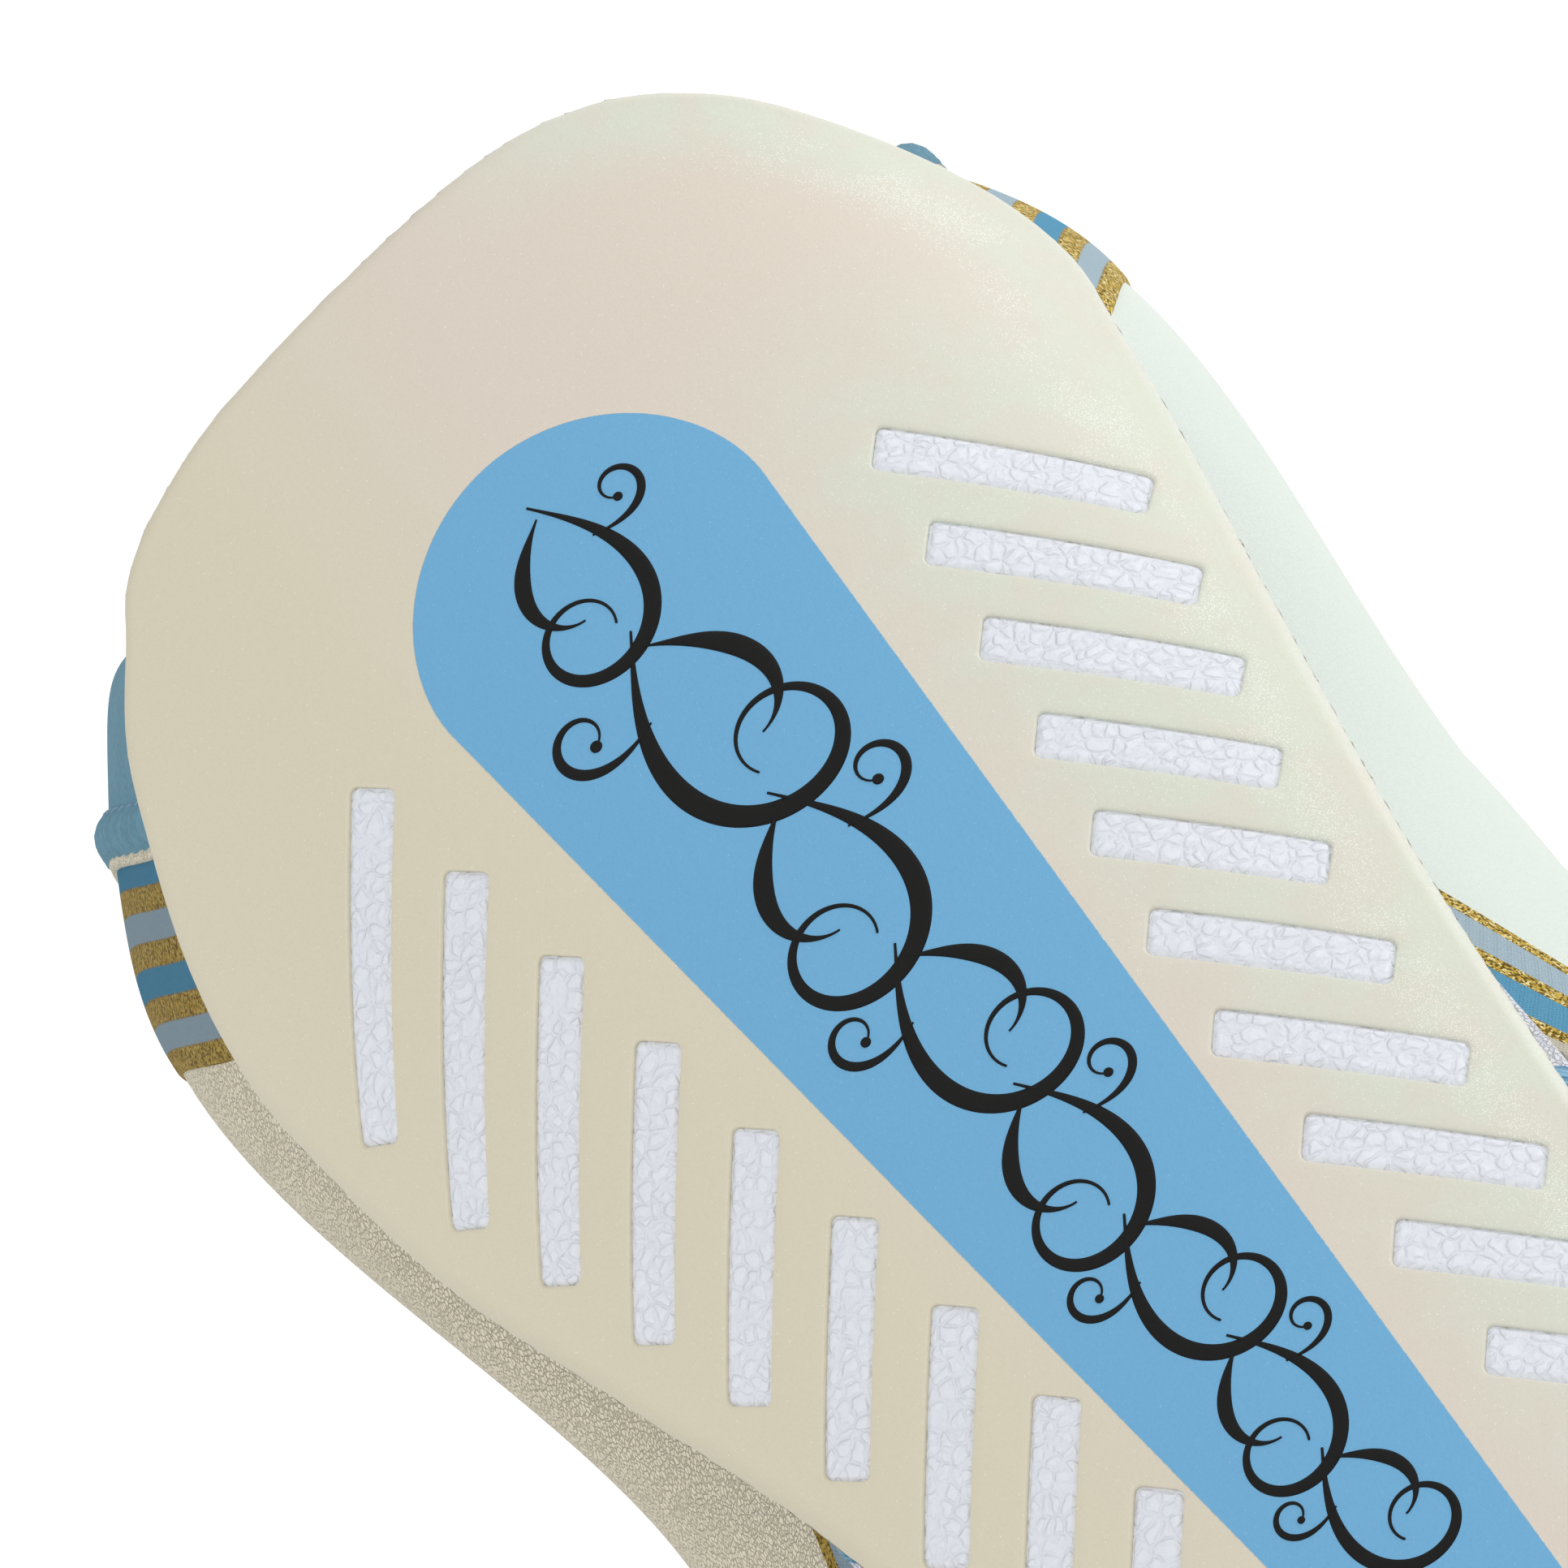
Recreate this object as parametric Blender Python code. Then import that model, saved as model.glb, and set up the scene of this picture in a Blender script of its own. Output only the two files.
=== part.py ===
"""A right football boot with a fold-over lace cover, in metres.

+X points to the toe, +Y to the wearer's left (the inner side of a right
boot), +Z up.  The stud tips stand on z = 0.  The upper is one surface,
skin(theta, v): theta = 0 at the toe, pi at the heel, v = 0 at the sole edge,
1 at the collar rim.  Its layers are patches of it at set depths.
"""
import math

import bmesh
import bpy
import numpy as np

# Last and sole
BOOT_LENGTH = 0.276
FOREFOOT_WIDTH = 0.097
WAIST_WIDTH = 0.0615
HEEL_WIDTH = 0.0687
TOE_SWING = 0.005
TOE_SPRING = 0.007
STUD_HEIGHT = 0.0108
STUD_RADIUS = 0.0088
PLATE_THICKNESS = 0.0032
BOARD_THICKNESS = 0.0020
SOCKLINER_THICKNESS = 0.0035

# Collar and upper
COLLAR_LENGTH = 0.114
COLLAR_WIDTH = 0.0525
COLLAR_FRONT = 0.126
COLLAR_SIDE = 0.1026
COLLAR_HEEL = 0.084
COLLAR_DROP = 0.0102
BAND_DEPTH = 0.0155
HEM_RADIUS = 0.0014
ANKLE_BULGE = 0.0101
UPPER_THICKNESS = 0.0014
STIFFENER_THICKNESS = 0.0012
LINING_THICKNESS = 0.0008
LAYER_GAP = 0.0005
OUTER_GAP = 0.0007
THROAT_HALF = 0.015
THROAT_V = 0.54
TONGUE_HALF = 0.021
TONGUE_CROWN = 0.0012
STAY_WIDTH = 0.0075
STAY_THICKNESS = 0.0009
SADDLE_WIDTH = 0.016
SADDLE_THICKNESS = 0.0007
HEEL_CUP_THICKNESS = 0.0014
TOE_RAND_THICKNESS = 0.0010
TOE_PUFF_ANGLE = 0.85
COUNTER_ANGLE = 0.85
HEEL_CUP_ANGLE = 0.62
TOE_RAND_ANGLE = 0.92
SEAM_ANGLE = 0.008
VAMP_ANGLE = 1.08

# Lacing
LACE_ROWS = 4
LACE_RADIUS = 0.0010
LACE_REACH = 0.0188
LOOP_HEIGHT = 0.0036
LOOP_WIDTH = 0.0022
LACE_V0 = 0.645
LACE_V1 = 0.80

# Lace cover
FLAP_WIDTH = 0.066
FLAP_CROWN = 0.014
FLAP_LIFT = 0.0085
HINGE_V = 0.455
FILM_THICKNESS = 0.0005
LEATHER_THICKNESS = 0.0012
BACKING_THICKNESS = 0.0008
WINDOW_COUNT = 11
WINDOW_WIDTH = 0.0030
WINDOW_MARGIN = 0.0036
LATERAL_WINDOW_PITCH = 0.00985
LATERAL_WINDOW_FIRST = 0.0051
MEDIAL_WINDOW_PITCH = 0.0088
MEDIAL_WINDOW_FIRST = 0.0095

HALF = BOOT_LENGTH / 2
FEATHER = STUD_HEIGHT + PLATE_THICKNESS + LAYER_GAP
COLLAR_X = -HALF + 0.002 + COLLAR_LENGTH / 2
STIFFENER_IN = UPPER_THICKNESS + LAYER_GAP
LINING_IN = STIFFENER_IN + STIFFENER_THICKNESS + LAYER_GAP
INNER = LINING_IN + LINING_THICKNESS

for old in list(bpy.data.objects):
    bpy.data.objects.remove(old, do_unlink=True)


def spline(x, xs, ys):
    """Cubic curve through the stations (xs, ys)."""
    xs = np.asarray(xs, float)
    ys = np.asarray(ys, float)
    x = np.clip(np.asarray(x, float), xs[0], xs[-1])
    slope = np.gradient(ys, xs)
    i = np.clip(np.searchsorted(xs, x) - 1, 0, len(xs) - 2)
    h = xs[i + 1] - xs[i]
    t = (x - xs[i]) / h
    a = (2 * t**3 - 3 * t**2 + 1) * ys[i] + (t**3 - 2 * t**2 + t) * h * slope[i]
    return a + (3 * t**2 - 2 * t**3) * ys[i + 1] + (t**3 - t**2) * h * slope[i + 1]


def smooth(x):
    """Smooth step of x from 0 to 1."""
    x = np.clip(x, 0, 1)
    return x * x * (3 - 2 * x)


def sole_edge(theta):
    """Plan of the sole edge, asymmetric like a right foot."""
    c, s = np.cos(theta), np.sin(theta)
    at = [-1, -0.6, -0.1, 0.4, 1]
    outer = [0.63 * HEEL_WIDTH, 0.58 * HEEL_WIDTH, 0.514 * WAIST_WIDTH,
             0.536 * FOREFOOT_WIDTH, 0.536 * FOREFOOT_WIDTH]
    inner = [0.63 * HEEL_WIDTH, 0.58 * HEEL_WIDTH, 0.486 * WAIST_WIDTH,
             0.526 * FOREFOOT_WIDTH, 0.588 * FOREFOOT_WIDTH]
    half = np.where(s >= 0, spline(c, at, inner), spline(c, at, outer))
    y = np.sign(s) * half * np.maximum(1 - c * c, 0) ** 0.38
    return HALF * c, y + TOE_SWING * np.clip(c, 0, 1) ** 2


def sole_height(x):
    """Height of the sole edge over the ground, rising to the toe."""
    return FEATHER + TOE_SPRING * np.clip((x / HALF - 0.35) / 0.65, 0, 1) ** 2


def surface(theta, v):
    """A point of the upper: a cubic from the sole edge to the collar oval."""
    c, s = np.cos(theta), np.sin(theta)
    x0, y0 = sole_edge(theta)
    x1 = COLLAR_X + COLLAR_LENGTH / 2 * c
    y1 = COLLAR_WIDTH / 2 * np.sign(s) * np.abs(s) ** 0.85
    z0 = sole_height(x0)
    side = COLLAR_SIDE
    rise = COLLAR_FRONT - side
    z1 = spline(c, [-1, -0.5, 0, 0.35, 0.7, 1],
                [COLLAR_HEEL, 0.97 * COLLAR_HEEL + 0.0025, side, side + 0.39 * rise,
                 side + 0.78 * rise, COLLAR_FRONT])
    at = [-1, 0, 0.4, 0.75, 1]
    low = spline(c, at, [0.46, 0.55, 0.42, 0.32, 0.29]) * (z1 - z0)
    high = spline(c, at, [0.31, 0.30, 0.40, 0.47, 0.48]) * (z1 - z0)
    reach = spline(c, at, [0.60, 0.454, 0.53, 0.52, 0.52])
    k0, k1, k2, k3 = (1 - v) ** 3, 3 * v * (1 - v) ** 2, 3 * v * v * (1 - v), v**3
    b = -0.03 * k1 + reach * k2 + k3
    z = k0 * z0 + k1 * (z0 + low) + k2 * (z1 - high) + k3 * z1
    power = spline(c, [-1, -0.3, 0.15, 0.5, 0.8, 1], [1, 1, 2.79, 2.49, 1.55, 1.6])
    by = 1 - np.maximum(1 - b, 0) ** power
    puff = 0.002 * np.sin(np.pi * np.clip(2 * v, 0, 1)) * (0.2 + 0.8 * np.clip(-c, 0, 1))
    ankle = ANKLE_BULGE * (1 - 0.079 * np.sign(s)) * np.exp(-(((v - 0.791) / 0.163) ** 2))
    ankle = ankle * s * s * smooth((0.88 - c) / 0.53)
    side_way = np.sign(s) * np.abs(s) ** 0.7
    norm = (puff + ankle) / np.sqrt(c * c + side_way**2)
    x = (1 - b) * x0 + b * x1 + norm * c
    y = (1 - by) * y0 + by * y1 + norm * side_way
    return np.stack([x, y, z], -1)


def skin(theta, v, depth=0.0):
    """A point at a depth inside the upper's outer face (negative: outside)."""
    theta, v, depth = np.broadcast_arrays(theta, v, depth)
    step = 1e-3
    around = surface(theta + step, v) - surface(theta - step, v)
    up = surface(theta, np.minimum(v + step, 1)) - surface(theta, np.maximum(v - step, 0))
    normal = np.cross(around, up)
    normal = normal / np.linalg.norm(normal, axis=-1, keepdims=True)
    return surface(theta, v) - depth[..., None] * normal


def theta_at(y, v):
    """The front meridian that crosses height v at the width y."""
    y, v = np.broadcast_arrays(np.asarray(y, float), np.asarray(v, float))
    low = np.full(y.shape, -0.5 * np.pi)
    high = np.full(y.shape, 0.5 * np.pi)
    for _ in range(40):
        mid = (low + high) / 2
        less = surface(mid, v)[..., 1] < y
        low = np.where(less, mid, low)
        high = np.where(less, high, mid)
    return (low + high) / 2


def v_below(theta, drop):
    """The height v that lies the length drop below the collar rim."""
    theta = np.asarray(theta, float)
    flat = theta.ravel()
    v = np.linspace(1, 0, 161)
    line = surface(flat[:, None], v[None, :])
    run = np.linalg.norm(np.diff(line, axis=1), axis=-1).cumsum(axis=1)
    run = np.concatenate([np.zeros((len(flat), 1)), run], axis=1)
    found = [np.interp(drop, row, v) for row in run]
    return np.array(found).reshape(theta.shape)


def swatch(name, colour, roughness=0.6):
    """A plain material."""
    material = bpy.data.materials.new(name)
    material.use_nodes = True
    shader = material.node_tree.nodes["Principled BSDF"]
    shader.inputs["Base Color"].default_value = (*colour, 1)
    shader.inputs["Roughness"].default_value = roughness
    return material


def make(name, points, faces, colour, pivot=None, roughness=0.6):
    """A named solid from points and faces, its origin on the pivot."""
    points = np.asarray(points, float) - SHIFT
    at = np.zeros(3) if pivot is None else np.asarray(pivot, float) - SHIFT
    mesh = bpy.data.meshes.new(name)
    mesh.from_pydata((points - at).tolist(), [], faces)
    work = bmesh.new()
    work.from_mesh(mesh)
    bmesh.ops.recalc_face_normals(work, faces=work.faces)
    work.to_mesh(mesh)
    work.free()
    mesh.materials.append(swatch(name, colour, roughness))
    item = bpy.data.objects.new(name, mesh)
    item.location = at
    bpy.context.scene.collection.objects.link(item)
    return item


def shell(name, top, bottom, colour, wrap=False, pivot=None, roughness=0.6):
    """A solid between two grids of points; wrap joins the first axis on itself."""
    n, m = top.shape[:2]
    points = np.concatenate([top.reshape(-1, 3), bottom.reshape(-1, 3)])
    a = np.arange(n * m).reshape(n, m)
    b = a + n * m
    faces = []
    rows = n if wrap else n - 1
    for i in range(rows):
        k = (i + 1) % n
        for j in range(m - 1):
            faces.append((a[i, j], a[k, j], a[k, j + 1], a[i, j + 1]))
            faces.append((b[i, j], b[i, j + 1], b[k, j + 1], b[k, j]))
        faces.append((a[i, 0], b[i, 0], b[k, 0], a[k, 0]))
        faces.append((a[i, -1], a[k, -1], b[k, -1], b[i, -1]))
    if not wrap:
        for j in range(m - 1):
            faces.append((a[0, j], a[0, j + 1], b[0, j + 1], b[0, j]))
            faces.append((a[-1, j], b[-1, j], b[-1, j + 1], a[-1, j + 1]))
    faces = [tuple(int(q) for q in face) for face in faces]
    return make(name, points, faces, colour, pivot, roughness)


def tube(name, path, radius, colour, sides=6, closed=False, taper=None, roughness=0.6):
    """A round solid along a path; open paths get end caps."""
    path = np.asarray(path, float)
    if closed:
        way = np.roll(path, -1, 0) - np.roll(path, 1, 0)
    else:
        way = np.gradient(path, axis=0)
    way = way / np.linalg.norm(way, axis=1, keepdims=True)
    flat = np.cross(way, [0, 0, 1.0])
    flat = flat / np.linalg.norm(flat, axis=1, keepdims=True)
    rise = np.cross(flat, way)
    turn = 2 * np.pi * (np.arange(sides) + 0.5) / sides
    size = np.full(len(path), radius) if taper is None else radius * np.asarray(taper)
    ring = flat[:, None] * np.cos(turn)[None, :, None] + rise[:, None] * np.sin(turn)[None, :, None]
    points = path[:, None] + size[:, None, None] * ring
    n = len(path)
    faces = []
    for i in range(n if closed else n - 1):
        k = (i + 1) % n
        for j in range(sides):
            q = (j + 1) % sides
            faces.append((i * sides + j, i * sides + q, k * sides + q, k * sides + j))
    if not closed:
        faces.append(tuple(range(sides)))
        faces.append(tuple((n - 1) * sides + j for j in range(sides)))
    return make(name, points.reshape(-1, 3), faces, colour, None, roughness)


def patch(name, theta, v, depth_out, depth_in, colour, wrap=False, roughness=0.6):
    """A piece of the upper between two depths over a (theta, v) grid."""
    theta, v = np.broadcast_arrays(theta, v)
    outer = skin(theta, v, depth_out)
    inner = skin(theta, v, depth_in)
    return shell(name, outer, inner, colour, wrap, None, roughness)


def slab(name, low, high, inset, colour, rows=40, columns=6, roughness=0.6):
    """A sole layer between two heights over the sole edge, drawn in by inset."""
    theta = np.linspace(0.06, np.pi - 0.06, rows)[:, None]
    across = np.linspace(0, 1, columns)[None, :]
    x, outer = sole_edge(-theta)
    x, inner = sole_edge(theta)
    x = x * (1 - inset / HALF)
    centre = (outer + inner) / 2
    reach = np.maximum((inner - outer) / 2 - inset, 0.002)
    y = centre + reach * (2 * across - 1)
    x = np.broadcast_to(x, y.shape)
    base = sole_height(x) - FEATHER
    top = np.stack([x, y, base + high], -1)
    bottom = np.stack([x, y, base + low], -1)
    return shell(name, top, bottom, colour, False, None, roughness)


# The whole boot is shifted so that its box stands centred on the origin.
BACK = skin(np.full(81, math.pi), np.linspace(0, 0.8, 81), -HEEL_CUP_THICKNESS - OUTER_GAP)[:, 0].min()
FRONT = skin(np.zeros(81), np.linspace(0, 0.3, 81), -TOE_RAND_THICKNESS - OUTER_GAP)[:, 0].max()
RING = np.linspace(0, 2 * np.pi, 721)[:, None]
WALL = surface(RING, np.linspace(0, 0.8, 81)[None, :])[..., 1]
SHIFT = np.array([(BACK + FRONT) / 2, (WALL.min() + WALL.max()) / 2, 0.0])

CREAM = (0.70, 0.64, 0.50)
WHITE = (0.80, 0.81, 0.86)
BLUE = (0.13, 0.34, 0.52)
GOLD = (0.45, 0.28, 0.06)
PALE = (0.50, 0.62, 0.70)
DARK = (0.05, 0.05, 0.06)

# Sole: a moulded plate, its studs, a rib under the waist, a board, a foot bed.
slab("sole_plate", STUD_HEIGHT, STUD_HEIGHT + PLATE_THICKNESS, 0.0004, WHITE, 38, 5, 0.4)
BED = FEATHER + LAYER_GAP
slab("insole_board", BED, BED + BOARD_THICKNESS, INNER + 0.0016, (0.35, 0.26, 0.16), 30, 4)
BED = BED + BOARD_THICKNESS + LAYER_GAP
slab("sockliner", BED, BED + SOCKLINER_THICKNESS, INNER + 0.0020, (0.20, 0.42, 0.55), 30, 4)


def plan(c, f):
    """A plan point at the length fraction c and the width fraction f."""
    theta = math.acos(c)
    x, outer = sole_edge(np.array(-theta))
    x, inner = sole_edge(np.array(theta))
    return float(x), float((outer + inner) / 2 + f * (inner - outer) / 2)


def stud(name, c, f, radius, colour):
    """A tapered stud from the ground to the underside of the plate."""
    x, y = plan(c, f)
    turn = 2 * np.pi * np.arange(18) / 18
    rings = []
    for part, size in ((0.0, 0.62), (0.10, 0.66), (0.72, 0.84), (1.0, 1.0)):
        px = x + radius * size * np.cos(turn)
        py = y + radius * size * np.sin(turn)
        roof = sole_height(px) - FEATHER + STUD_HEIGHT - LAYER_GAP * 0.75
        rings.append(np.stack([px, py, part * roof], -1))
    points = np.concatenate(rings)
    faces = [tuple(range(18)), tuple(54 + k for k in range(18))]
    for r in range(3):
        for k in range(18):
            q = (k + 1) % 18
            faces.append((18 * r + k, 18 * r + q, 18 * r + 18 + q, 18 * r + 18 + k))
    return make(name, points, faces, colour, None, 0.35)


FORE = [(0.66, -0.52), (0.66, 0.50), (0.44, -0.70), (0.44, 0.68), (0.30, 0.0),
        (0.15, -0.68), (0.15, 0.66)]
for index, (c, f) in enumerate(FORE):
    stud(f"stud_fore_{index + 1}", c, f, STUD_RADIUS, BLUE)
for index, (c, f) in enumerate([(-0.50, -0.60), (-0.50, 0.60), (-0.80, -0.52), (-0.80, 0.52)]):
    stud(f"stud_heel_{index + 1}", c, f, STUD_RADIUS, BLUE)

RIB = np.linspace(-0.40, 0.08, 14)[:, None] * HALF
RIB_SIDE = np.linspace(-1, 1, 5)[None, :]
RIB_Y = np.broadcast_to(0.011 * RIB_SIDE, (14, 5))
RIB_X = np.broadcast_to(RIB, (14, 5))
RIB_TOP = np.full((14, 5), STUD_HEIGHT - 0.75 * LAYER_GAP)
RIB_END = np.sqrt(np.clip(1 - ((RIB_X / HALF + 0.16) / 0.25) ** 2, 0, 1))
RIB_LOW = RIB_TOP - 0.0009 - 0.0030 * RIB_END * (1 - 0.8 * RIB_SIDE**2)
shell("shank_rib", np.stack([RIB_X, RIB_Y, RIB_TOP], -1), np.stack([RIB_X, RIB_Y, RIB_LOW], -1), GOLD)


# Upper: vamp, two quarters, hooped ankle band, rolled hem and padded collar.
def front_edge(v, side):
    """Front edge of a quarter: the vamp seam below, the throat edge above."""
    throat = np.abs(theta_at(side * THROAT_HALF, np.maximum(v, THROAT_V)))
    return throat + (VAMP_ANGLE - throat) * (1 - smooth((v - 0.06) / (THROAT_V - 0.06)))


BAND_TOP = COLLAR_DROP + HEM_RADIUS + LAYER_GAP
BAND_LOW = BAND_TOP + BAND_DEPTH
QUARTER_TOP = BAND_LOW + LAYER_GAP

ROWS_V = np.linspace(0.0, THROAT_V, 18)[None, :]
ACROSS = np.linspace(-1, 1, 25)[:, None]
VAMP_EDGE = np.where(ACROSS > 0, front_edge(ROWS_V, 1), front_edge(ROWS_V, -1)) - SEAM_ANGLE
patch("vamp", ACROSS * VAMP_EDGE, ROWS_V, 0.0, UPPER_THICKNESS, CREAM)


def quarter(name, side):
    """One side of the boot, from its front edge to the heel seam."""
    f = np.linspace(0, 1, 24)[:, None]
    g = np.linspace(0, 1, 17)[None, :]
    f, g = np.broadcast_arrays(f, g)
    v = 0.7 * g
    for _ in range(6):
        edge = front_edge(v, side)
        theta = edge + f * (np.pi - SEAM_ANGLE - edge)
        v = g * v_below(side * theta, QUARTER_TOP)
    patch(name, side * theta, v, 0.0, UPPER_THICKNESS, CREAM)


quarter("lateral_quarter", -1)
quarter("medial_quarter", 1)

FULL = np.linspace(0, 2 * np.pi, 64, endpoint=False)


def hoop_grid(drops, half, columns):
    """A strip round the heel, open at the throat, over drops below the rim."""
    f = np.linspace(0, 1, columns)[:, None]
    drops = np.asarray(drops, float)[None, :]
    f, drops = np.broadcast_arrays(f, drops)
    theta = 0.4 + f * (2 * np.pi - 0.8)
    for _ in range(6):
        v = np.stack([v_below(theta[:, k], drops[0, k]) for k in range(drops.shape[1])], 1)
        start = theta_at(half, v)
        end = 2 * np.pi + theta_at(-half, v)
        theta = start + f * (end - start)
    return theta, v


BAND_THETA, BAND_V = hoop_grid(np.linspace(BAND_TOP, BAND_LOW, 4), THROAT_HALF, 52)
patch("ankle_band", BAND_THETA, BAND_V, -0.0002, UPPER_THICKNESS, GOLD)

HEM_V = v_below(FULL, COLLAR_DROP)
tube("collar_hem", skin(FULL, HEM_V, 0.0004), HEM_RADIUS, BLUE, 6, True)

COLLAR_LOW = v_below(FULL, COLLAR_DROP - HEM_RADIUS - LAYER_GAP)[:, None]
ROLL = np.array([0, 0.35, 0.7, 0.9, 1.0])[None, :]
COLLAR_V = COLLAR_LOW + (1 - COLLAR_LOW) * ROLL
ROUND = 0.40 * INNER * (1 - np.sqrt(1 - ROLL**6 * 0.999))
PAD = 0.0005 * np.sin(np.pi * ROLL)
patch("collar", FULL[:, None], COLLAR_V, ROUND - PAD, INNER - ROUND + PAD, BLUE, True, 0.8)

ROUND_LINING = np.linspace(0, 2 * np.pi, 54, endpoint=False)
LINING_TOP = v_below(ROUND_LINING, BAND_TOP)[:, None]
LINING_V = 0.02 + (LINING_TOP - 0.02) * np.linspace(0, 1, 9)[None, :]
patch("lining", ROUND_LINING[:, None], LINING_V, LINING_IN, INNER, (0.30, 0.45, 0.55), True, 0.9)

PUFF_V = np.linspace(0.02, 0.27, 7)[None, :]
patch("toe_puff", np.linspace(-TOE_PUFF_ANGLE, TOE_PUFF_ANGLE, 17)[:, None], PUFF_V, STIFFENER_IN, LINING_IN - LAYER_GAP,
      (0.55, 0.50, 0.42))
COUNTER_V = np.linspace(0.02, 0.56, 8)[None, :]
patch("heel_counter", np.pi + np.linspace(-COUNTER_ANGLE, COUNTER_ANGLE, 15)[:, None], COUNTER_V, STIFFENER_IN,
      LINING_IN - LAYER_GAP, (0.55, 0.50, 0.42))

CUP_V = np.linspace(0.0, 1.0, 9)[None, :]
CUP_F = np.linspace(-1, 1, 13)[:, None]
CUP_THETA = np.pi + CUP_F * HEEL_CUP_ANGLE * (1 - 0.8 * smooth(CUP_V / 0.75))
patch("heel_cup", CUP_THETA, 0.74 * CUP_V, -HEEL_CUP_THICKNESS - OUTER_GAP, -OUTER_GAP, WHITE, False, 0.4)
RAND_V = np.linspace(0.0, 1.0, 4)[None, :]
RAND_F = np.linspace(-1, 1, 19)[:, None]
patch("toe_rand", TOE_RAND_ANGLE * RAND_F, 0.11 * RAND_V * (1 - 0.6 * RAND_F**2), -TOE_RAND_THICKNESS - OUTER_GAP,
      -OUTER_GAP, WHITE, False, 0.4)


def saddle(name, side):
    """A trim band down one side of the midfoot, swept forward to the throat at its top."""
    f = np.linspace(-0.5, 0.5, 5)[:, None]
    top = 0.643 + 0.012 * side + 0.08 * f
    v = 0.03 + (top - 0.03) * np.linspace(0, 1, 15)[None, :]
    mid = VAMP_ANGLE - 0.41 * (v / 0.69) ** 2.3
    width = np.linalg.norm(surface(side * (mid + 0.01), v) - surface(side * (mid - 0.01), v), axis=-1) / 0.02
    theta = side * (mid + f * SADDLE_WIDTH / width)
    patch(name, theta, v, -SADDLE_THICKNESS - OUTER_GAP, -OUTER_GAP, GOLD)


saddle("lateral_saddle_band", -1)
saddle("medial_saddle_band", 1)

# Throat: padded tongue, eyestays, webbing loops and the lace.
TONGUE_F = np.linspace(-1, 1, 17)[:, None]
TONGUE_G = np.linspace(0, 1, 13)[None, :]
TONGUE_TOP = float(v_below(np.array([0.0]), BAND_TOP)[0]) - 0.004
TONGUE_V = (THROAT_V - 0.03) + (TONGUE_TOP - THROAT_V + 0.03) * TONGUE_G
TONGUE_Y = TONGUE_F * TONGUE_HALF
TONGUE_END = smooth((TONGUE_V - THROAT_V - 0.004) / 0.03)
TONGUE_RISE = TONGUE_END * smooth((THROAT_HALF - 0.0010 - np.abs(TONGUE_Y)) / 0.006)
TONGUE_OUT = STIFFENER_IN - TONGUE_RISE * (STIFFENER_IN + TONGUE_CROWN)
TONGUE_THETA = theta_at(np.broadcast_to(TONGUE_Y, TONGUE_OUT.shape), np.broadcast_to(TONGUE_V, TONGUE_OUT.shape))
patch("tongue", TONGUE_THETA, TONGUE_V, TONGUE_OUT, LINING_IN - LAYER_GAP, (0.62, 0.60, 0.50), False, 0.8)

STAY_TOP = -OUTER_GAP - STAY_THICKNESS


def eyestay(name, side):
    """A reinforcing strip along one edge of the throat."""
    v = np.linspace(THROAT_V + 0.025, 0.845, 14)[None, :]
    y = THROAT_HALF + 0.0004 + np.linspace(0, STAY_WIDTH, 4)[:, None]
    y, v = np.broadcast_arrays(side * y, v)
    patch(name, theta_at(y, v), v, STAY_TOP, -OUTER_GAP, WHITE)


eyestay("lateral_eyestay", -1)
eyestay("medial_eyestay", 1)


def over_throat(x, y, lift):
    """A point at a lift over the upper's face at the plan place (x, y)."""
    x, y, lift = np.broadcast_arrays(np.asarray(x, float), np.asarray(y, float), np.asarray(lift, float))
    low = np.full(x.shape, 0.2)
    high = np.full(x.shape, 0.999)
    for _ in range(30):
        mid = (low + high) / 2
        ahead = surface(theta_at(y, mid), mid)[..., 0] > x
        low = np.where(ahead, mid, low)
        high = np.where(ahead, high, mid)
    return skin(theta_at(y, low), low, -lift)


def lace_loop(name, side, x):
    """An arch of webbing on the eyestay, open along the throat."""
    y = side * LACE_REACH
    foot = over_throat(x, y, LAYER_GAP - STAY_TOP)
    out = foot - over_throat(x, y, 0.0)
    out = out / np.linalg.norm(out)
    along = over_throat(x + 0.002, y, 0.0) - over_throat(x - 0.002, y, 0.0)
    across = np.cross(out, along)
    across = across / np.linalg.norm(across)
    along = np.cross(across, out)
    turn = np.linspace(0, np.pi, 11)
    grids = []
    for height, half in ((LOOP_HEIGHT, 0.0037), (LOOP_HEIGHT - 0.0007, 0.0030)):
        wide = half * np.sign(np.cos(turn)) * np.abs(np.cos(turn)) ** 0.7
        tall = height * np.sin(turn) ** 0.7
        arch = foot + wide[:, None] * across + tall[:, None] * out
        sides = np.array([-0.5, 0.5])[None, :, None] * LOOP_WIDTH * along
        grids.append(arch[:, None] + sides)
    shell(name, grids[0], grids[1], BLUE)


LACE_X = float(surface(np.array(0.0), np.array(LACE_V0))[0])
LACE_STEP = (LACE_X - float(surface(np.array(0.0), np.array(LACE_V1))[0])) / (LACE_ROWS - 1)
for row in range(LACE_ROWS):
    lace_loop(f"lateral_lace_loop_{row + 1}", -1, LACE_X - row * LACE_STEP)
    lace_loop(f"medial_lace_loop_{row + 1}", 1, LACE_X - row * LACE_STEP)

LACE_LOW = -STAY_TOP + LAYER_GAP + LACE_RADIUS + 0.0004
LACE_UNDER = TONGUE_CROWN + LACE_RADIUS + 0.0005
LACE_OVER = LACE_UNDER + 2 * LACE_RADIUS + 0.0004


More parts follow.
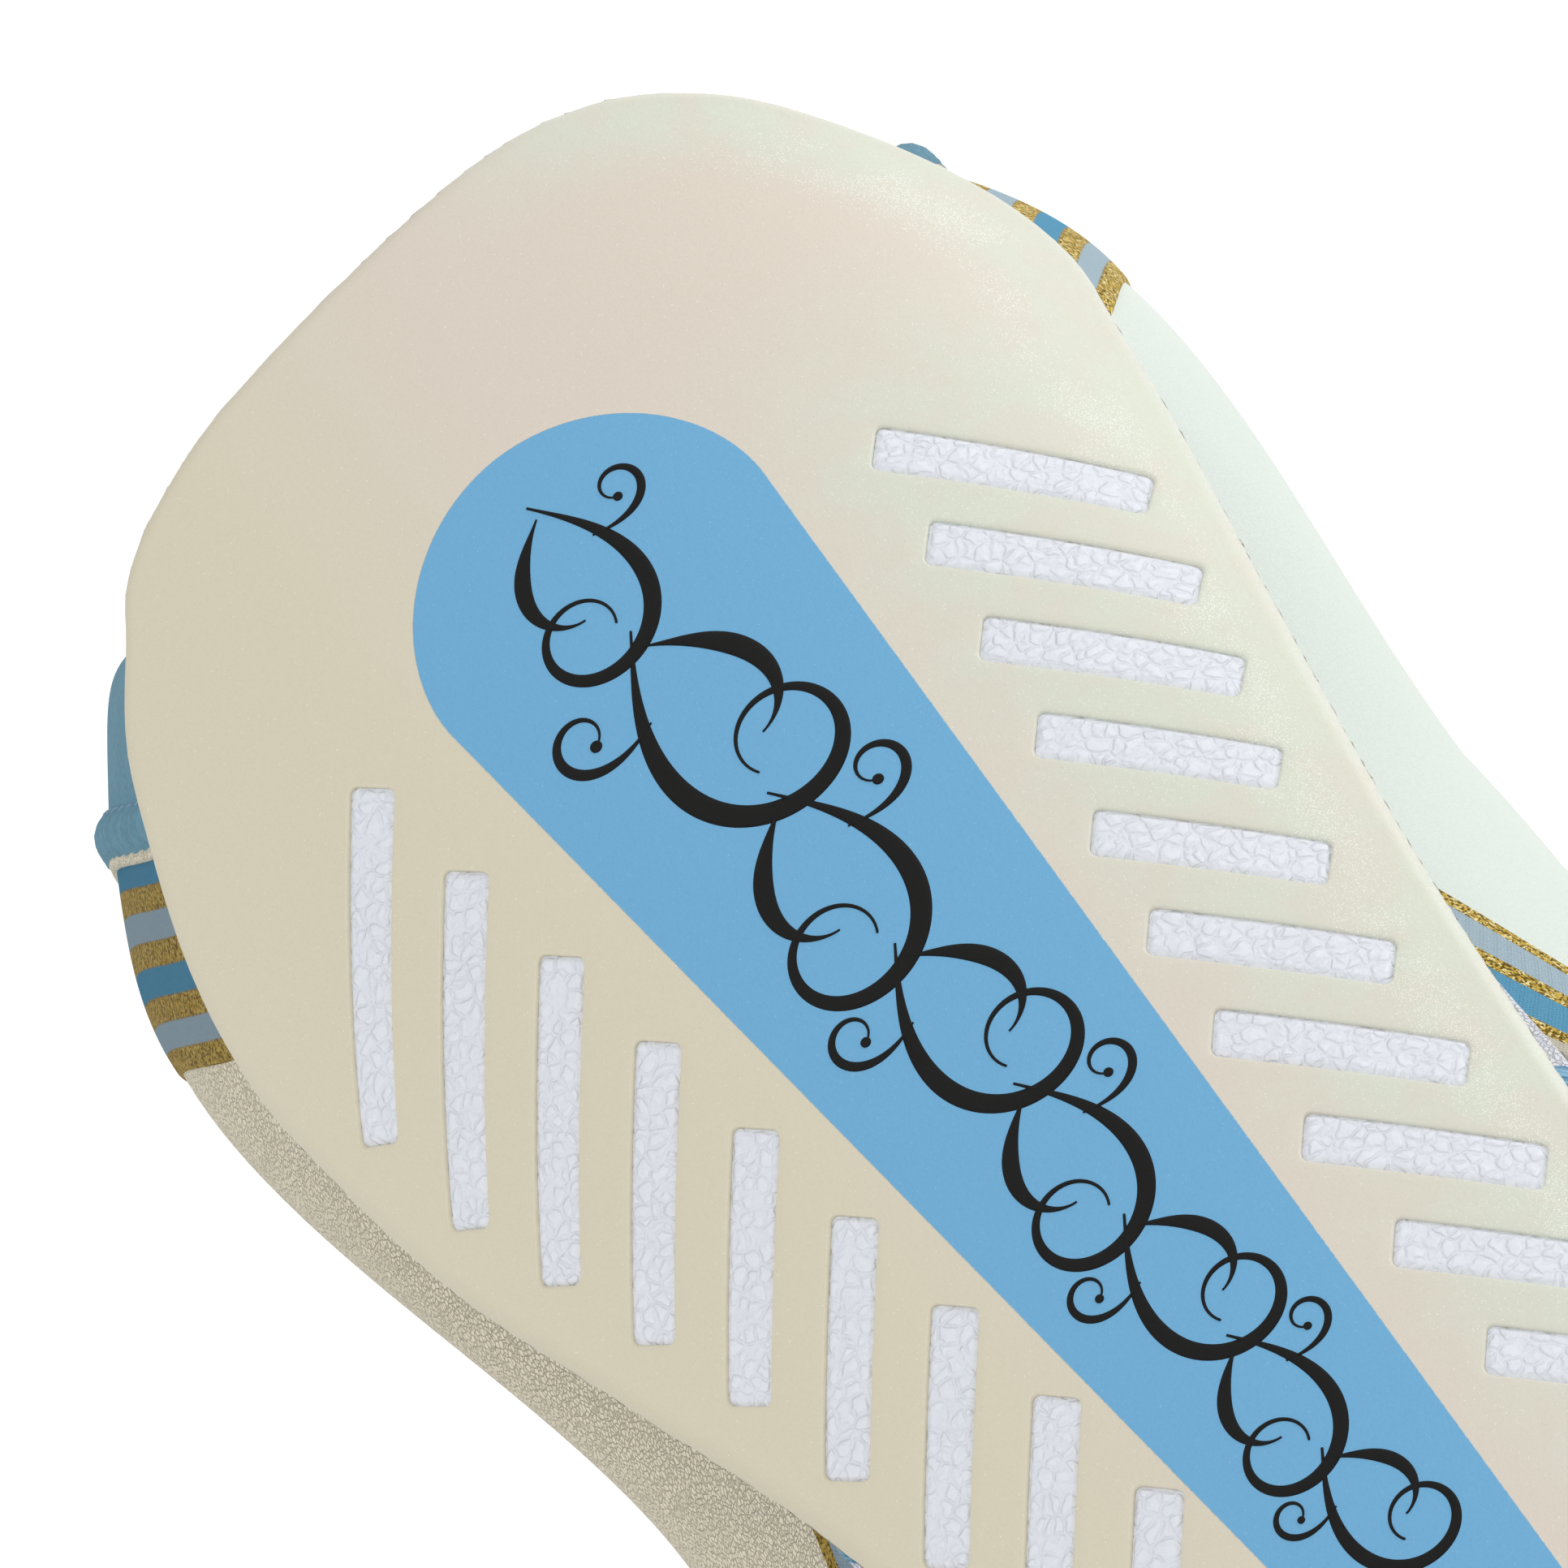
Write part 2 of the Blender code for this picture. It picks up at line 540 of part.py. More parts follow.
def strand(u, side, middle):
    """One crossing half of the lace; u counts the rows."""
    y = side * LACE_REACH * np.tanh(1.8 * np.cos(np.pi * u)) / math.tanh(1.8)
    lift = LACE_LOW + (middle - LACE_LOW) * np.sin(np.pi * u) ** 6
    return over_throat(LACE_X - LACE_STEP * u, y, lift)


LACE_END = LACE_ROWS - 1 + 0.454
U = np.linspace(LACE_END, 0, 12 * LACE_ROWS)
TURN = np.linspace(0, np.pi, 13)[1:-1]
BEND_Y = -LACE_REACH * np.tanh(1.8 * np.cos(TURN)) / math.tanh(1.8)
BEND_LIFT = LACE_LOW + (LACE_UNDER - LACE_LOW) * np.sin(TURN)
BEND = over_throat(LACE_X + 0.5 * LACE_STEP * np.sin(TURN), BEND_Y, BEND_LIFT)
LACE = np.concatenate([strand(U, -1, LACE_OVER), BEND, strand(U[::-1], 1, LACE_UNDER)])
tube("lace", LACE, LACE_RADIUS, WHITE, 6)

KNOT_X = LACE_X - LACE_STEP * (LACE_ROWS - 0.5)
KNOT_LIFT = (LACE_OVER + LACE_UNDER) / 2 + 0.0006
KNOT_Y = np.linspace(-0.0042, 0.0042, 9)
KNOT = over_throat(KNOT_X, KNOT_Y, KNOT_LIFT)
KNOT_RADIUS = 0.0029
tube("lace_knot", KNOT, KNOT_RADIUS, WHITE, 8, False, np.sqrt(1 - 0.92 * np.linspace(-1, 1, 9) ** 2))


def lace_end(name, side):
    """A free end of the lace, with its aglet, lying back over one eyestay."""
    rest = -STAY_TOP + 1.1 * LACE_RADIUS + 0.0004

    def path(q):
        lift = KNOT_LIFT + (rest - KNOT_LIFT) * smooth(q)
        x = KNOT_X - KNOT_RADIUS - 0.0007 - 0.0026 * np.sin(np.pi * q / 2)
        return over_throat(x, side * (0.0022 + 0.0186 * q), lift)

    tube(f"{name}_lace_end", path(np.linspace(0, 0.62, 9)), LACE_RADIUS, WHITE, 6)
    tube(f"{name}_aglet", path(np.linspace(0.64, 1, 5)), 1.1 * LACE_RADIUS, GOLD, 8, False, None, 0.3)


lace_end("lateral", -1)
lace_end("medial", 1)

# Lace cover: film with bar windows over leather over backing, hinged at the toe end.
ROOT = surface(np.array(0.0), np.array(HINGE_V))
HINGE = np.array([ROOT[0], 0.0, ROOT[2] + FLAP_LIFT])
RIM = surface(np.array(0.0), np.array(1.0))
TIP = np.array([RIM[0] + 0.0034, 0.0, RIM[2] + 0.0096])
FLAP_LENGTH = float(np.linalg.norm(HINGE - TIP))
FLAP_WAY = (HINGE - TIP) / FLAP_LENGTH
FLAP_NORMAL = np.array([-FLAP_WAY[2], 0.0, FLAP_WAY[0]])


def flap_half(s):
    """Half width of the cover at the length s from its free end."""
    at = np.array([0, 0.015, 0.03, 0.085, 0.15, 0.21, 0.27, 0.36, 0.46, 0.53, 0.60, 0.67, 0.80, 1.0])
    wide = np.array([0.515, 0.62, 0.715, 0.88, 0.985, 1.0, 0.975, 0.915, 0.818, 0.752, 0.727, 0.676,
                     0.62, 0.575])
    return FLAP_WIDTH / 2 * spline(s / FLAP_LENGTH, at, wide)


def flap(s, t, lift):
    """A point of the cover: s along it, t across it, lift over its face."""
    s, t, lift = np.broadcast_arrays(s, t, lift)
    tau = t / (0.515 * FLAP_WIDTH)
    high = lift - FLAP_CROWN * (0.64 * tau**2 + 0.36 * tau**6)
    across = np.array([0.0, 1.0, 0.0])
    return TIP + s[..., None] * FLAP_WAY + t[..., None] * across + high[..., None] * FLAP_NORMAL


FLAP_S = np.array([0, 0.009, 0.022, 0.045, 0.075, 0.115, 0.165, 0.225, 0.30, 0.38, 0.47, 0.56, 0.66,
                   0.77, 0.88, 1.0])[:, None] * (FLAP_LENGTH - 0.0004)
FLAP_F = np.sin(np.linspace(-1, 1, 15) * 1.15)[None, :] / math.sin(1.15)


def flap_layer(name, high, low, inset, colour):
    """One layer of the cover between two lifts, drawn in by inset."""
    t = FLAP_F * (flap_half(FLAP_S) - inset)
    dip = 0.0008 * (1 - FLAP_F**2) * (1 - FLAP_S / FLAP_LENGTH) ** 20
    s = FLAP_S + dip + inset * (1 - FLAP_S / FLAP_LENGTH)
    top = flap(s, t, high)
    bottom = flap(s, t, low)
    return shell(name, top, bottom, colour, False, HINGE)


LEATHER_TOP = -FILM_THICKNESS - 0.0003
BACKING_TOP = LEATHER_TOP - LEATHER_THICKNESS - 0.0003
FLAP_UNDER = BACKING_TOP - BACKING_THICKNESS
FILM = flap_layer("flap_film", 0.0, -FILM_THICKNESS, 0.0, CREAM)
flap_layer("flap_leather", LEATHER_TOP, LEATHER_TOP - LEATHER_THICKNESS, 0.0003, WHITE)
flap_layer("flap_backing", BACKING_TOP, FLAP_UNDER, 0.0006, PALE)


def window(index, side):
    """Outline of a slanted window bar in (s, t), with cut corners."""
    if side < 0:
        start = LATERAL_WINDOW_FIRST + index * LATERAL_WINDOW_PITCH
        t0 = 0.0174 - 0.00107 * index
    else:
        start = MEDIAL_WINDOW_FIRST + index * MEDIAL_WINDOW_PITCH
        t0 = max(0.0100, 0.0169 - 0.0012 * index)
    t1 = 0.02
    for _ in range(30):
        t1 = 0.5 * t1 + 0.5 * (float(flap_half(start + 1.15 * t1)) - WINDOW_MARGIN)
    a = np.array([start + 1.15 * t0, t0])
    b = np.array([start + 1.15 * t1, t1])
    way = (b - a) / np.linalg.norm(b - a)
    off = np.array([-way[1], way[0]]) * WINDOW_WIDTH / 2
    cut = 0.0006
    corner = [a + off + way * cut, b + off - way * cut, b + off * 0.6, b - off * 0.6,
              b - off - way * cut, a - off + way * cut, a - off * 0.6, a + off * 0.6]
    return np.array(corner) * [1, side]


def window_cutter():
    """Blocks that stand through the film at every window."""
    points = []
    faces = []
    for side in (-1, 1):
        for index in range(WINDOW_COUNT):
            outline = window(index, side)
            base = len(points)
            for lift in (0.0012, -FILM_THICKNESS - 0.0012):
                points.extend(flap(outline[:, 0], outline[:, 1], lift).tolist())
            faces.append(tuple(base + k for k in range(8)))
            faces.append(tuple(base + 15 - k for k in range(8)))
            for k in range(8):
                q = (k + 1) % 8
                faces.append((base + k, base + 8 + k, base + 8 + q, base + q))
    return make("window_cutter", points, faces, WHITE, HINGE)


def cut_windows(film):
    """Cuts the windows out of the film and applies the result."""
    cutter = window_cutter()
    cut = film.modifiers.new("windows", "BOOLEAN")
    cut.operation = "DIFFERENCE"
    cut.solver = "EXACT"
    cut.object = cutter
    bpy.context.view_layer.update()
    graph = bpy.context.evaluated_depsgraph_get()
    mesh = bpy.data.meshes.new_from_object(film.evaluated_get(graph))
    film.modifiers.clear()
    film.data = mesh
    bpy.data.objects.remove(cutter, do_unlink=True)


cut_windows(FILM)

# Hook patch under the cover, a pad with its loop patch on the tongue, the sewn root.
HOOK_S = np.linspace(0.021, 0.033, 5)[:, None]
HOOK_T = np.linspace(-0.009, 0.009, 7)[None, :]
HOOK_TOP = FLAP_UNDER - 0.0003
HOOK_LOW = HOOK_TOP - 0.0010
shell("flap_hook_patch", flap(HOOK_S, HOOK_T, HOOK_TOP), flap(HOOK_S, HOOK_T, HOOK_LOW), DARK, False, HINGE)
PATCH_TOP = HOOK_LOW - 0.0003
PATCH_LOW = PATCH_TOP - 0.0010
shell("tongue_loop_patch", flap(HOOK_S, HOOK_T, PATCH_TOP), flap(HOOK_S, HOOK_T, PATCH_LOW), DARK)
PAD_TOP = flap(HOOK_S, HOOK_T, PATCH_LOW - 0.0003)


PAD_FOOT = PAD_TOP - 0.008 * FLAP_NORMAL
PAD_LOW = over_throat(PAD_FOOT[..., 0], PAD_FOOT[..., 1], TONGUE_CROWN + LAYER_GAP)
shell("tongue_pad", PAD_TOP, PAD_LOW, (0.30, 0.45, 0.55))

ROOT_F = np.linspace(0, 1, 8)[:, None]
ROOT_Y = np.linspace(-1, 1, 11)[None, :]
ROOT_X = np.broadcast_to(HINGE[0] + 0.0001 + 0.0215 * ROOT_F, (8, 11))
ROOT_WIDE = ROOT_Y * (float(flap_half(FLAP_LENGTH)) - 0.003 * ROOT_F**2)
ROOT_LOW = over_throat(ROOT_X, ROOT_WIDE, OUTER_GAP)
ROOT_RISE = np.maximum(HINGE[2] - 0.0003 - 0.0030 * ROOT_Y**2 - ROOT_LOW[:1, :, 2], 0.0015)
ROOT_TOP = ROOT_LOW + 0.0
ROOT_TOP[..., 2] += 0.0010 + (ROOT_RISE - 0.0010) * (1 - smooth(ROOT_F * 1.02))
shell("flap_root", ROOT_TOP, ROOT_LOW, CREAM)
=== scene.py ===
"""A right football boot with a fold-over lace cover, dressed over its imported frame.

Metres; the toe points along +X, the inner side along +Y, the stud tips stand on z = 0.
"""
import math

import bmesh
import bpy
import numpy as np
from mathutils import Matrix


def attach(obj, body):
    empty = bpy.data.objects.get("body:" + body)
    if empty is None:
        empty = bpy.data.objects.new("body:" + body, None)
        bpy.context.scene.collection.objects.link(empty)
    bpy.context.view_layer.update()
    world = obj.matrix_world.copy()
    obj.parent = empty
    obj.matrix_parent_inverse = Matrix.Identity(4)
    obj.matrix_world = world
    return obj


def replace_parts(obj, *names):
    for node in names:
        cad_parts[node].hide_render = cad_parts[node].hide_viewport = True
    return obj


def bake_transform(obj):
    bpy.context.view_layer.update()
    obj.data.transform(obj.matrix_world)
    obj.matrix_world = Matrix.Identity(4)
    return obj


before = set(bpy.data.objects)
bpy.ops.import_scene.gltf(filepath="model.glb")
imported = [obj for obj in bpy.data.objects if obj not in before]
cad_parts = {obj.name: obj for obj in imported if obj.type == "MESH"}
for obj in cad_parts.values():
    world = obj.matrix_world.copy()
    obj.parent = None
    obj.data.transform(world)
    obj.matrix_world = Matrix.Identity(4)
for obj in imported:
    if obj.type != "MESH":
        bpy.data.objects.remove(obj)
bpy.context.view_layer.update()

# Sole plate: one plate of pearl-white nylon under the whole foot, injection
# moulded with a shallow herringbone, and cemented to the upper's turned-in edge.
# The boot is drawn in its last's own axes, and origin is the frame's zero in them.
half_length = 0.138
stud_height = 0.0108
feather = 0.0145
origin = np.array([-0.00098931, 0.00038615, 0.0])


def through(x, xs, ys):
    """Cubic curve through the stations (xs, ys), in Hermite pieces with central slopes."""
    xs = np.asarray(xs, float)
    ys = np.asarray(ys, float)
    x = np.clip(np.asarray(x, float), xs[0], xs[-1])
    slope = np.gradient(ys, xs)
    i = np.clip(np.searchsorted(xs, x) - 1, 0, len(xs) - 2)
    h = xs[i + 1] - xs[i]
    t = (x - xs[i]) / h
    start = (2 * t**3 - 3 * t**2 + 1) * ys[i] + (t**3 - 2 * t**2 + t) * h * slope[i]
    return start + (3 * t**2 - 2 * t**3) * ys[i + 1] + (t**3 - t**2) * h * slope[i + 1]


def ease(x):
    """Smooth step from 0 to 1: 3x^2 - 2x^3."""
    x = np.clip(x, 0, 1)
    return x * x * (3 - 2 * x)


def sole_edge(theta):
    """Plan of the sole edge: x = half_length cos, y = half width (1 - cos^2)^0.38, swung in at the toe."""
    c, s = np.cos(theta), np.sin(theta)
    at = [-1, -0.6, -0.1, 0.4, 1]
    outer = through(c, at, [0.043281, 0.039846, 0.031611, 0.051992, 0.051992])
    inner = through(c, at, [0.043281, 0.039846, 0.029889, 0.051022, 0.057036])
    y = np.sign(s) * np.where(s >= 0, inner, outer) * np.maximum(1 - c * c, 0) ** 0.38
    return half_length * c, y + 0.005 * np.clip(c, 0, 1) ** 2


def sole_height(x):
    """Height of the sole edge over the ground, rising as a square towards the toe."""
    return feather + 0.007 * np.clip((x / half_length - 0.35) / 0.65, 0, 1) ** 2


def stations(count, size, radius):
    """Places from 0 to 1 along a length, close together on a round edge at each end."""
    turn = radius / size * (1 - np.cos(np.linspace(0, np.pi / 2, 6)))
    middle = np.linspace(radius / size, 1 - radius / size, count)
    return np.concatenate([turn[:-1], middle, (1 - turn)[::-1][1:]])


def quarter_round(q):
    """Depth of a round edge of radius 1 at the share q of its way out: 1 - sqrt(1 - q^2)."""
    return 1 - np.sqrt(np.clip(1 - q * q, 0, 1))


def fall(f, size, radius):
    """How far a face drops at its ends 0 and 1: a quarter round of the radius."""
    return radius * quarter_round(np.clip(1 - np.minimum(f, 1 - f) * size / radius, 0, 1))


def quads(rows, columns, round_rows=False, round_columns=False):
    """Corner numbers of a grid's cells; a round axis joins its last line to its first."""
    at = np.arange(rows * columns).reshape(rows, columns)
    if round_rows:
        at = np.vstack([at, at[:1]])
    if round_columns:
        at = np.hstack([at, at[:, :1]])
    return np.stack([at[:-1, :-1], at[1:, :-1], at[1:, 1:], at[:-1, 1:]], -1).reshape(-1, 4)


def rim_cells(rim, deep):
    """Cells that join a closed line of points to the like line that many numbers on."""
    after = np.roll(rim, -1)
    return np.stack([after, rim, rim + deep, after + deep], -1)


def border(at):
    """The outline of a block of point numbers, in order."""
    return np.concatenate([at[:, 0], at[-1, 1:], at[-2::-1, -1], at[0, -2:0:-1]])


def wall(top, under, ring=False):
    """Points and cells of a closed wall: two like grids and the rims between them."""
    rows, columns = top.shape[:2]
    at = np.arange(rows * columns).reshape(rows, columns)
    face = quads(rows, columns, ring)
    rims = [at[:, 0], at[::-1, -1]] if ring else [border(at)]
    cells = [face, face[:, ::-1] + rows * columns] + [rim_cells(rim, rows * columns) for rim in rims]
    return np.concatenate([top.reshape(-1, 3), under.reshape(-1, 3)]), np.concatenate(cells)


def piece(name, solid, finish, body="boot", uv=None, turn=1e9, weld=False):
    """A smooth mesh from points and cells, turned outwards by the sign of its volume, riding on a body.

    A pattern uv that covers only the outer grid is used for the inner grid too.
    """
    points, cells = solid
    points = points - origin
    corner = points[cells]
    fans = np.cross(corner[:, 1], corner[:, 2]) + np.cross(corner[:, 2], corner[:, 3])
    if np.einsum("ij,ij->", corner[:, 0], fans) < 0:
        cells = cells[:, ::-1]
    mesh = bpy.data.meshes.new(name)
    mesh.vertices.add(len(points))
    mesh.vertices.foreach_set("co", points.ravel())
    mesh.loops.add(cells.size)
    mesh.loops.foreach_set("vertex_index", cells.ravel().astype(np.int32))
    mesh.polygons.add(len(cells))
    mesh.polygons.foreach_set("loop_start", np.arange(0, cells.size, 4, dtype=np.int32))
    mesh.polygons.foreach_set("use_smooth", np.ones(len(cells), bool))
    if uv is not None:
        uv = uv.reshape(-1, 2)
        spread = np.resize(uv, (len(points), 2))[cells]
        spread[..., 0] -= np.round((spread[..., 0] - spread[:, :1, 0]) / turn) * turn
        mesh.uv_layers.new(name="pattern").data.foreach_set("uv", spread.ravel().astype(np.float32))
    mesh.update(calc_edges=True)
    if weld:
        work = bmesh.new()
        work.from_mesh(mesh)
        bmesh.ops.remove_doubles(work, verts=work.verts, dist=1e-7)
        work.to_mesh(mesh)
        work.free()
    mesh.validate()
    mesh.materials.append(finish.material)
    item = bpy.data.objects.new(name, mesh)
    bpy.context.scene.collection.objects.link(item)
    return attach(item, body) if body else item


def tint(code):
    """A colour from its six-figure screen code."""
    part = np.array([int(code[k : k + 2], 16) for k in (0, 2, 4)]) / 255
    return (*np.where(part <= 0.04045, part / 12.92, ((part + 0.055) / 1.055) ** 2.4).tolist(), 1.0)


class Value:
    """A socket inside a finish; sums written with it add Math nodes."""

    def __init__(self, finish, socket):
        self.finish = finish
        self.socket = socket

    def work(self, operation, *terms):
        """A Math node on the terms."""
        return self.finish.add("Math", {"operation": operation}, dict(enumerate(terms)))

    def __add__(self, other):
        return self.work("ADD", self, other)

    def __sub__(self, other):
        return self.work("SUBTRACT", self, other)

    def __rsub__(self, other):
        return self.work("SUBTRACT", other, self)

    def __mul__(self, other):
        return self.work("MULTIPLY", self, other)

    __radd__ = __add__
    __rmul__ = __mul__

    def of(self, operation, *others):
        """This value in a named Math operation."""
        return self.work(operation, self, *others)

    def step(self, low, high):
        """Smooth step of this value from 0 at low to 1 at high."""
        sockets = {"Value": self, "From Min": low, "From Max": high}
        return self.finish.add("MapRange", {"interpolation_type": "SMOOTHSTEP"}, sockets)


class Finish:
    """A node material whose patterns are Python expressions."""

    def __init__(self, name, slot, even):
        self.slot = slot
        self.material = bpy.data.materials.new(name)
        self.material.use_nodes = True
        self.tree = self.material.node_tree
        self.shader = self.tree.nodes["Principled BSDF"]
        self.relief = None
        for socket, value in even.items():
            self.shader.inputs[socket].default_value = value
        self.place = self.add("TexCoord", {}, {}, "Object")
        self.pattern = self.add("TexCoord", {}, {}, "UV")

    def add(self, kind, settings, sockets, output=0):
        """A node of a type, with its settings, and values or links on its sockets."""
        node = self.tree.nodes.new("ShaderNode" + kind)
        for key, value in settings.items():
            setattr(node, key, value)
        for key, value in sockets.items():
            self.feed(node.inputs[key], value)
        return Value(self, node.outputs[output])

    def feed(self, socket, value):
        """A link or a fixed value on a socket."""
        if isinstance(value, Value):
            self.tree.links.new(value.socket, socket)
        else:
            socket.default_value = value

    def axes(self, vector):
        """The three parts of a vector."""
        node = self.add("SeparateXYZ", {}, {0: vector}).socket.node
        return [Value(self, socket) for socket in node.outputs]

    def noise(self, scale, detail=2.0, rough=0.5):
        """Cloudy noise, scale clouds to the metre."""
        sockets = {"Vector": self.place, "Scale": scale, "Detail": detail, "Roughness": rough}
        return self.add("TexNoise", {}, sockets)

    def cells(self, scale, feature="F1", vector=None, output="Distance"):
        """Cells of a natural net, scale cells to the metre."""
        sockets = {"Vector": vector or self.place, "Scale": scale}
        return self.add("TexVoronoi", {"feature": feature}, sockets, output)

    def bent(self, scale, amount):
        """Object places bent by noise, so that a net looks grown."""
        sockets = {"Vector": self.place, "Scale": scale, "Detail": 2.0}
        cloud = self.add("TexNoise", {}, sockets, "Color")
        off = self.add("VectorMath", {"operation": "SUBTRACT"}, {0: cloud, 1: (0.5, 0.5, 0.5)})
        off = self.add("VectorMath", {"operation": "SCALE"}, {0: off, "Scale": amount})
        return self.add("VectorMath", {"operation": "ADD"}, {0: self.place, 1: off})

    def mix(self, share, first, second):
        """Two colours, each a code or a value, mixed by a share."""
        first, second = (tint(colour) if isinstance(colour, str) else colour for colour in (first, second))
        return self.add("Mix", {"data_type": "RGBA"}, {0: share, 6: first, 7: second}, 2)

    def paint(self, colour):
        """Colour over the surface."""
        self.feed(self.shader.inputs["Base Color"], colour)
        return self

    def rough(self, value):
        """Roughness over the surface."""
        self.feed(self.shader.inputs["Roughness"], value)
        return self

    def emboss(self, height, depth):
        """Relief of a depth in metres, on top of earlier relief."""
        sockets = {"Height": height, "Distance": depth, "Strength": 1.0}
        if self.relief:
            sockets["Normal"] = self.relief
        self.relief = self.add("Bump", {}, sockets)
        self.feed(self.shader.inputs["Normal"], self.relief)
        return self


nylon = Finish("pearl_nylon", "white_plastic", {"Coat Weight": 0.25, "Coat Roughness": 0.2})
flow = nylon.noise(60, 3)
nylon.paint(nylon.mix(flow, "E2DCCB", "F0ECE0"))
nylon.rough(0.30 + 0.12 * nylon.noise(900, 3))
nylon.emboss(nylon.noise(3000, 2), 0.00003)


def sole_layer(low, high, inset, radius, rows=120, columns=34):
    """Grids of a sole layer: the sole edge drawn in by inset, flat between two heights, edges rounded."""
    theta = np.linspace(0.012, np.pi - 0.012, rows)[:, None]
    f = stations(columns, 0.08, radius)[None, :]
    x, outer = sole_edge(-theta)
    x, inner = sole_edge(theta)
    x = x * (1 - inset / half_length)
    reach = np.maximum((inner - outer) / 2 - inset, 0.0006)
    y = (outer + inner) / 2 + reach * (2 * f - 1)
    x = np.broadcast_to(x, y.shape)
    ends = np.minimum(half_length - inset - np.abs(x), radius) / radius
    drop = np.maximum(fall(f, 2 * reach, radius), radius * quarter_round(1 - ends))
    base = sole_height(x) - feather
    return np.stack([x, y, base + high - drop], -1), np.stack([x, y, base + low + drop], -1)


plate_high, plate_inset, plate_radius = 0.014, 0.0004, 0.0009
tread_depth, tread_pitch, tread_half = 0.0007, 0.0065, 0.033
plate_top, plate_under = sole_layer(stud_height, plate_high, plate_inset, plate_radius, 200, 60)
px, py = plate_under[..., 0], plate_under[..., 1]
zigzag = np.abs(((np.abs(py) * 0.8 + px) / tread_pitch) % 1 - 0.5) * 2
tread = ease((px - 0.002) / 0.01) * ease((0.112 - px) / 0.01)
tread = tread + ease((-0.062 - px) / 0.008) * ease((px + 0.128) / 0.008)
tread = tread * ease((zigzag - 0.35) / 0.3) * ease((tread_half - np.abs(py)) / 0.006)
plate_under[..., 2] -= tread_depth * tread
plate = piece("sole_plate_moulded", wall(plate_top, plate_under), nylon)
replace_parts(plate, "sole_plate")

# Studs: eleven tapered studs of tinted plastic, moulded on to the plate with a
# flared foot; the tips are scuffed by the ground.
stud_radius = 0.0088
stud_sides = 40
tinted = Finish("tinted_stud_plastic", "blue_plastic", {"Coat Weight": 0.3})
high = tinted.axes(tinted.place)[2]
scuff = (1 - high.step(0.0005, 0.0035)) * tinted.noise(1500, 4, 0.7).step(0.35, 0.65)
tinted.paint(tinted.mix(scuff, tinted.mix(tinted.noise(200, 2), "5CA3CF", "78BAE0"), "9DB4BE"))
tinted.rough(0.24 + 0.4 * scuff)
tinted.emboss(tinted.noise(2500, 3), 0.00004)


def gather(parts):
    """One set of points and cells from several."""
    start = np.cumsum([0] + [len(points) for points, _ in parts])
    points = np.concatenate([points for points, _ in parts])
    return points, np.concatenate([cells + k for (_, cells), k in zip(parts, start)])


def plan(c, f):
    """A plan place at the length share c and the width share f of the sole."""
    x, outer = sole_edge(np.array(-math.acos(c)))
    x, inner = sole_edge(np.array(math.acos(c)))
    return float(x), float((outer + inner) / 2 + f * (inner - outer) / 2)


def stud(c, f):
    """A turned form: its radius falls from a flared foot to a round-edged tip."""
    x, y = plan(c, f)
    part = np.array([0, 0, 0.004, 0.025, 0.06, 0.12, 0.3, 0.5, 0.7, 0.82, 0.90, 0.96, 1.0, 1.0])
    size = np.array([0, 0.5, 0.57, 0.615, 0.64, 0.655, 0.70, 0.755, 0.815, 0.86, 0.91, 0.98, 1.06, 0])
    turn = 2 * np.pi * np.arange(stud_sides)[:, None] / stud_sides
    cut = 1 - 0.05 * np.cos(3 * turn) * (part > 0.05) * (part < 0.9)
    px = x + stud_radius * size * cut * np.cos(turn)
    py = y + stud_radius * size * cut * np.sin(turn)
    roof = sole_height(px) - feather + stud_height + 0.0001
    return np.stack([px, py, part * roof], -1).reshape(-1, 3), quads(stud_sides, part.size, True)


stud_places = {
    "fore": [(0.66, -0.52), (0.66, 0.50), (0.44, -0.70), (0.44, 0.68), (0.30, 0.0),
             (0.15, -0.68), (0.15, 0.66)],
    "heel": [(-0.50, -0.60), (-0.50, 0.60), (-0.80, -0.52), (-0.80, 0.52)],
}
for group, places in stud_places.items():
    studs = piece(f"{group}_studs_moulded", gather([stud(*place) for place in places]), tinted, weld=True)
    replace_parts(studs, *[f"stud_{group}_{k + 1}" for k in range(len(places))])

# Shank rib: a stiffening rib of gilt plastic under the waist, moulded on to the
# plate between the fore and the heel studs, with three low ridges along it.
gilt = Finish("gilt_plastic", "gold_plastic", {"Metallic": 0.85, "Coat Weight": 0.2})
gilt.paint(gilt.mix(gilt.noise(400, 3), "B98A38", "D9B66A"))
gilt.rough(0.26 + 0.16 * gilt.noise(1800, 3))
gilt.emboss(gilt.noise(4000, 2), 0.00002)
rib_width, rib_radius = 0.022, 0.0008
rib_x = np.linspace(-0.40, 0.08, 60)[:, None] * half_length
rib_f = stations(18, rib_width, rib_radius)[None, :]
rib_end = np.sqrt(np.clip(1 - ((rib_x / half_length + 0.16) / 0.25) ** 2, 0, 1))
rib_side = 2 * rib_f - 1
rib_y = rib_width / 2 * rib_side * (0.45 + 0.55 * rib_end)
rib_ridges = 0.0006 * np.cos(rib_side * 3 * np.pi) * rib_end
rib_keel = 0.0028 * rib_end * (1 - 0.8 * rib_side**2)
rib_low = 0.0095 - rib_keel - rib_ridges + fall(rib_f, rib_width, rib_radius)
rib_under = np.stack(np.broadcast_arrays(rib_x, rib_y, rib_low), -1)
rib_top = rib_under.copy()
rib_top[..., 2] = stud_height
rib = piece("shank_rib_gilt", wall(rib_top, rib_under), gilt)
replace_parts(rib, "shank_rib")

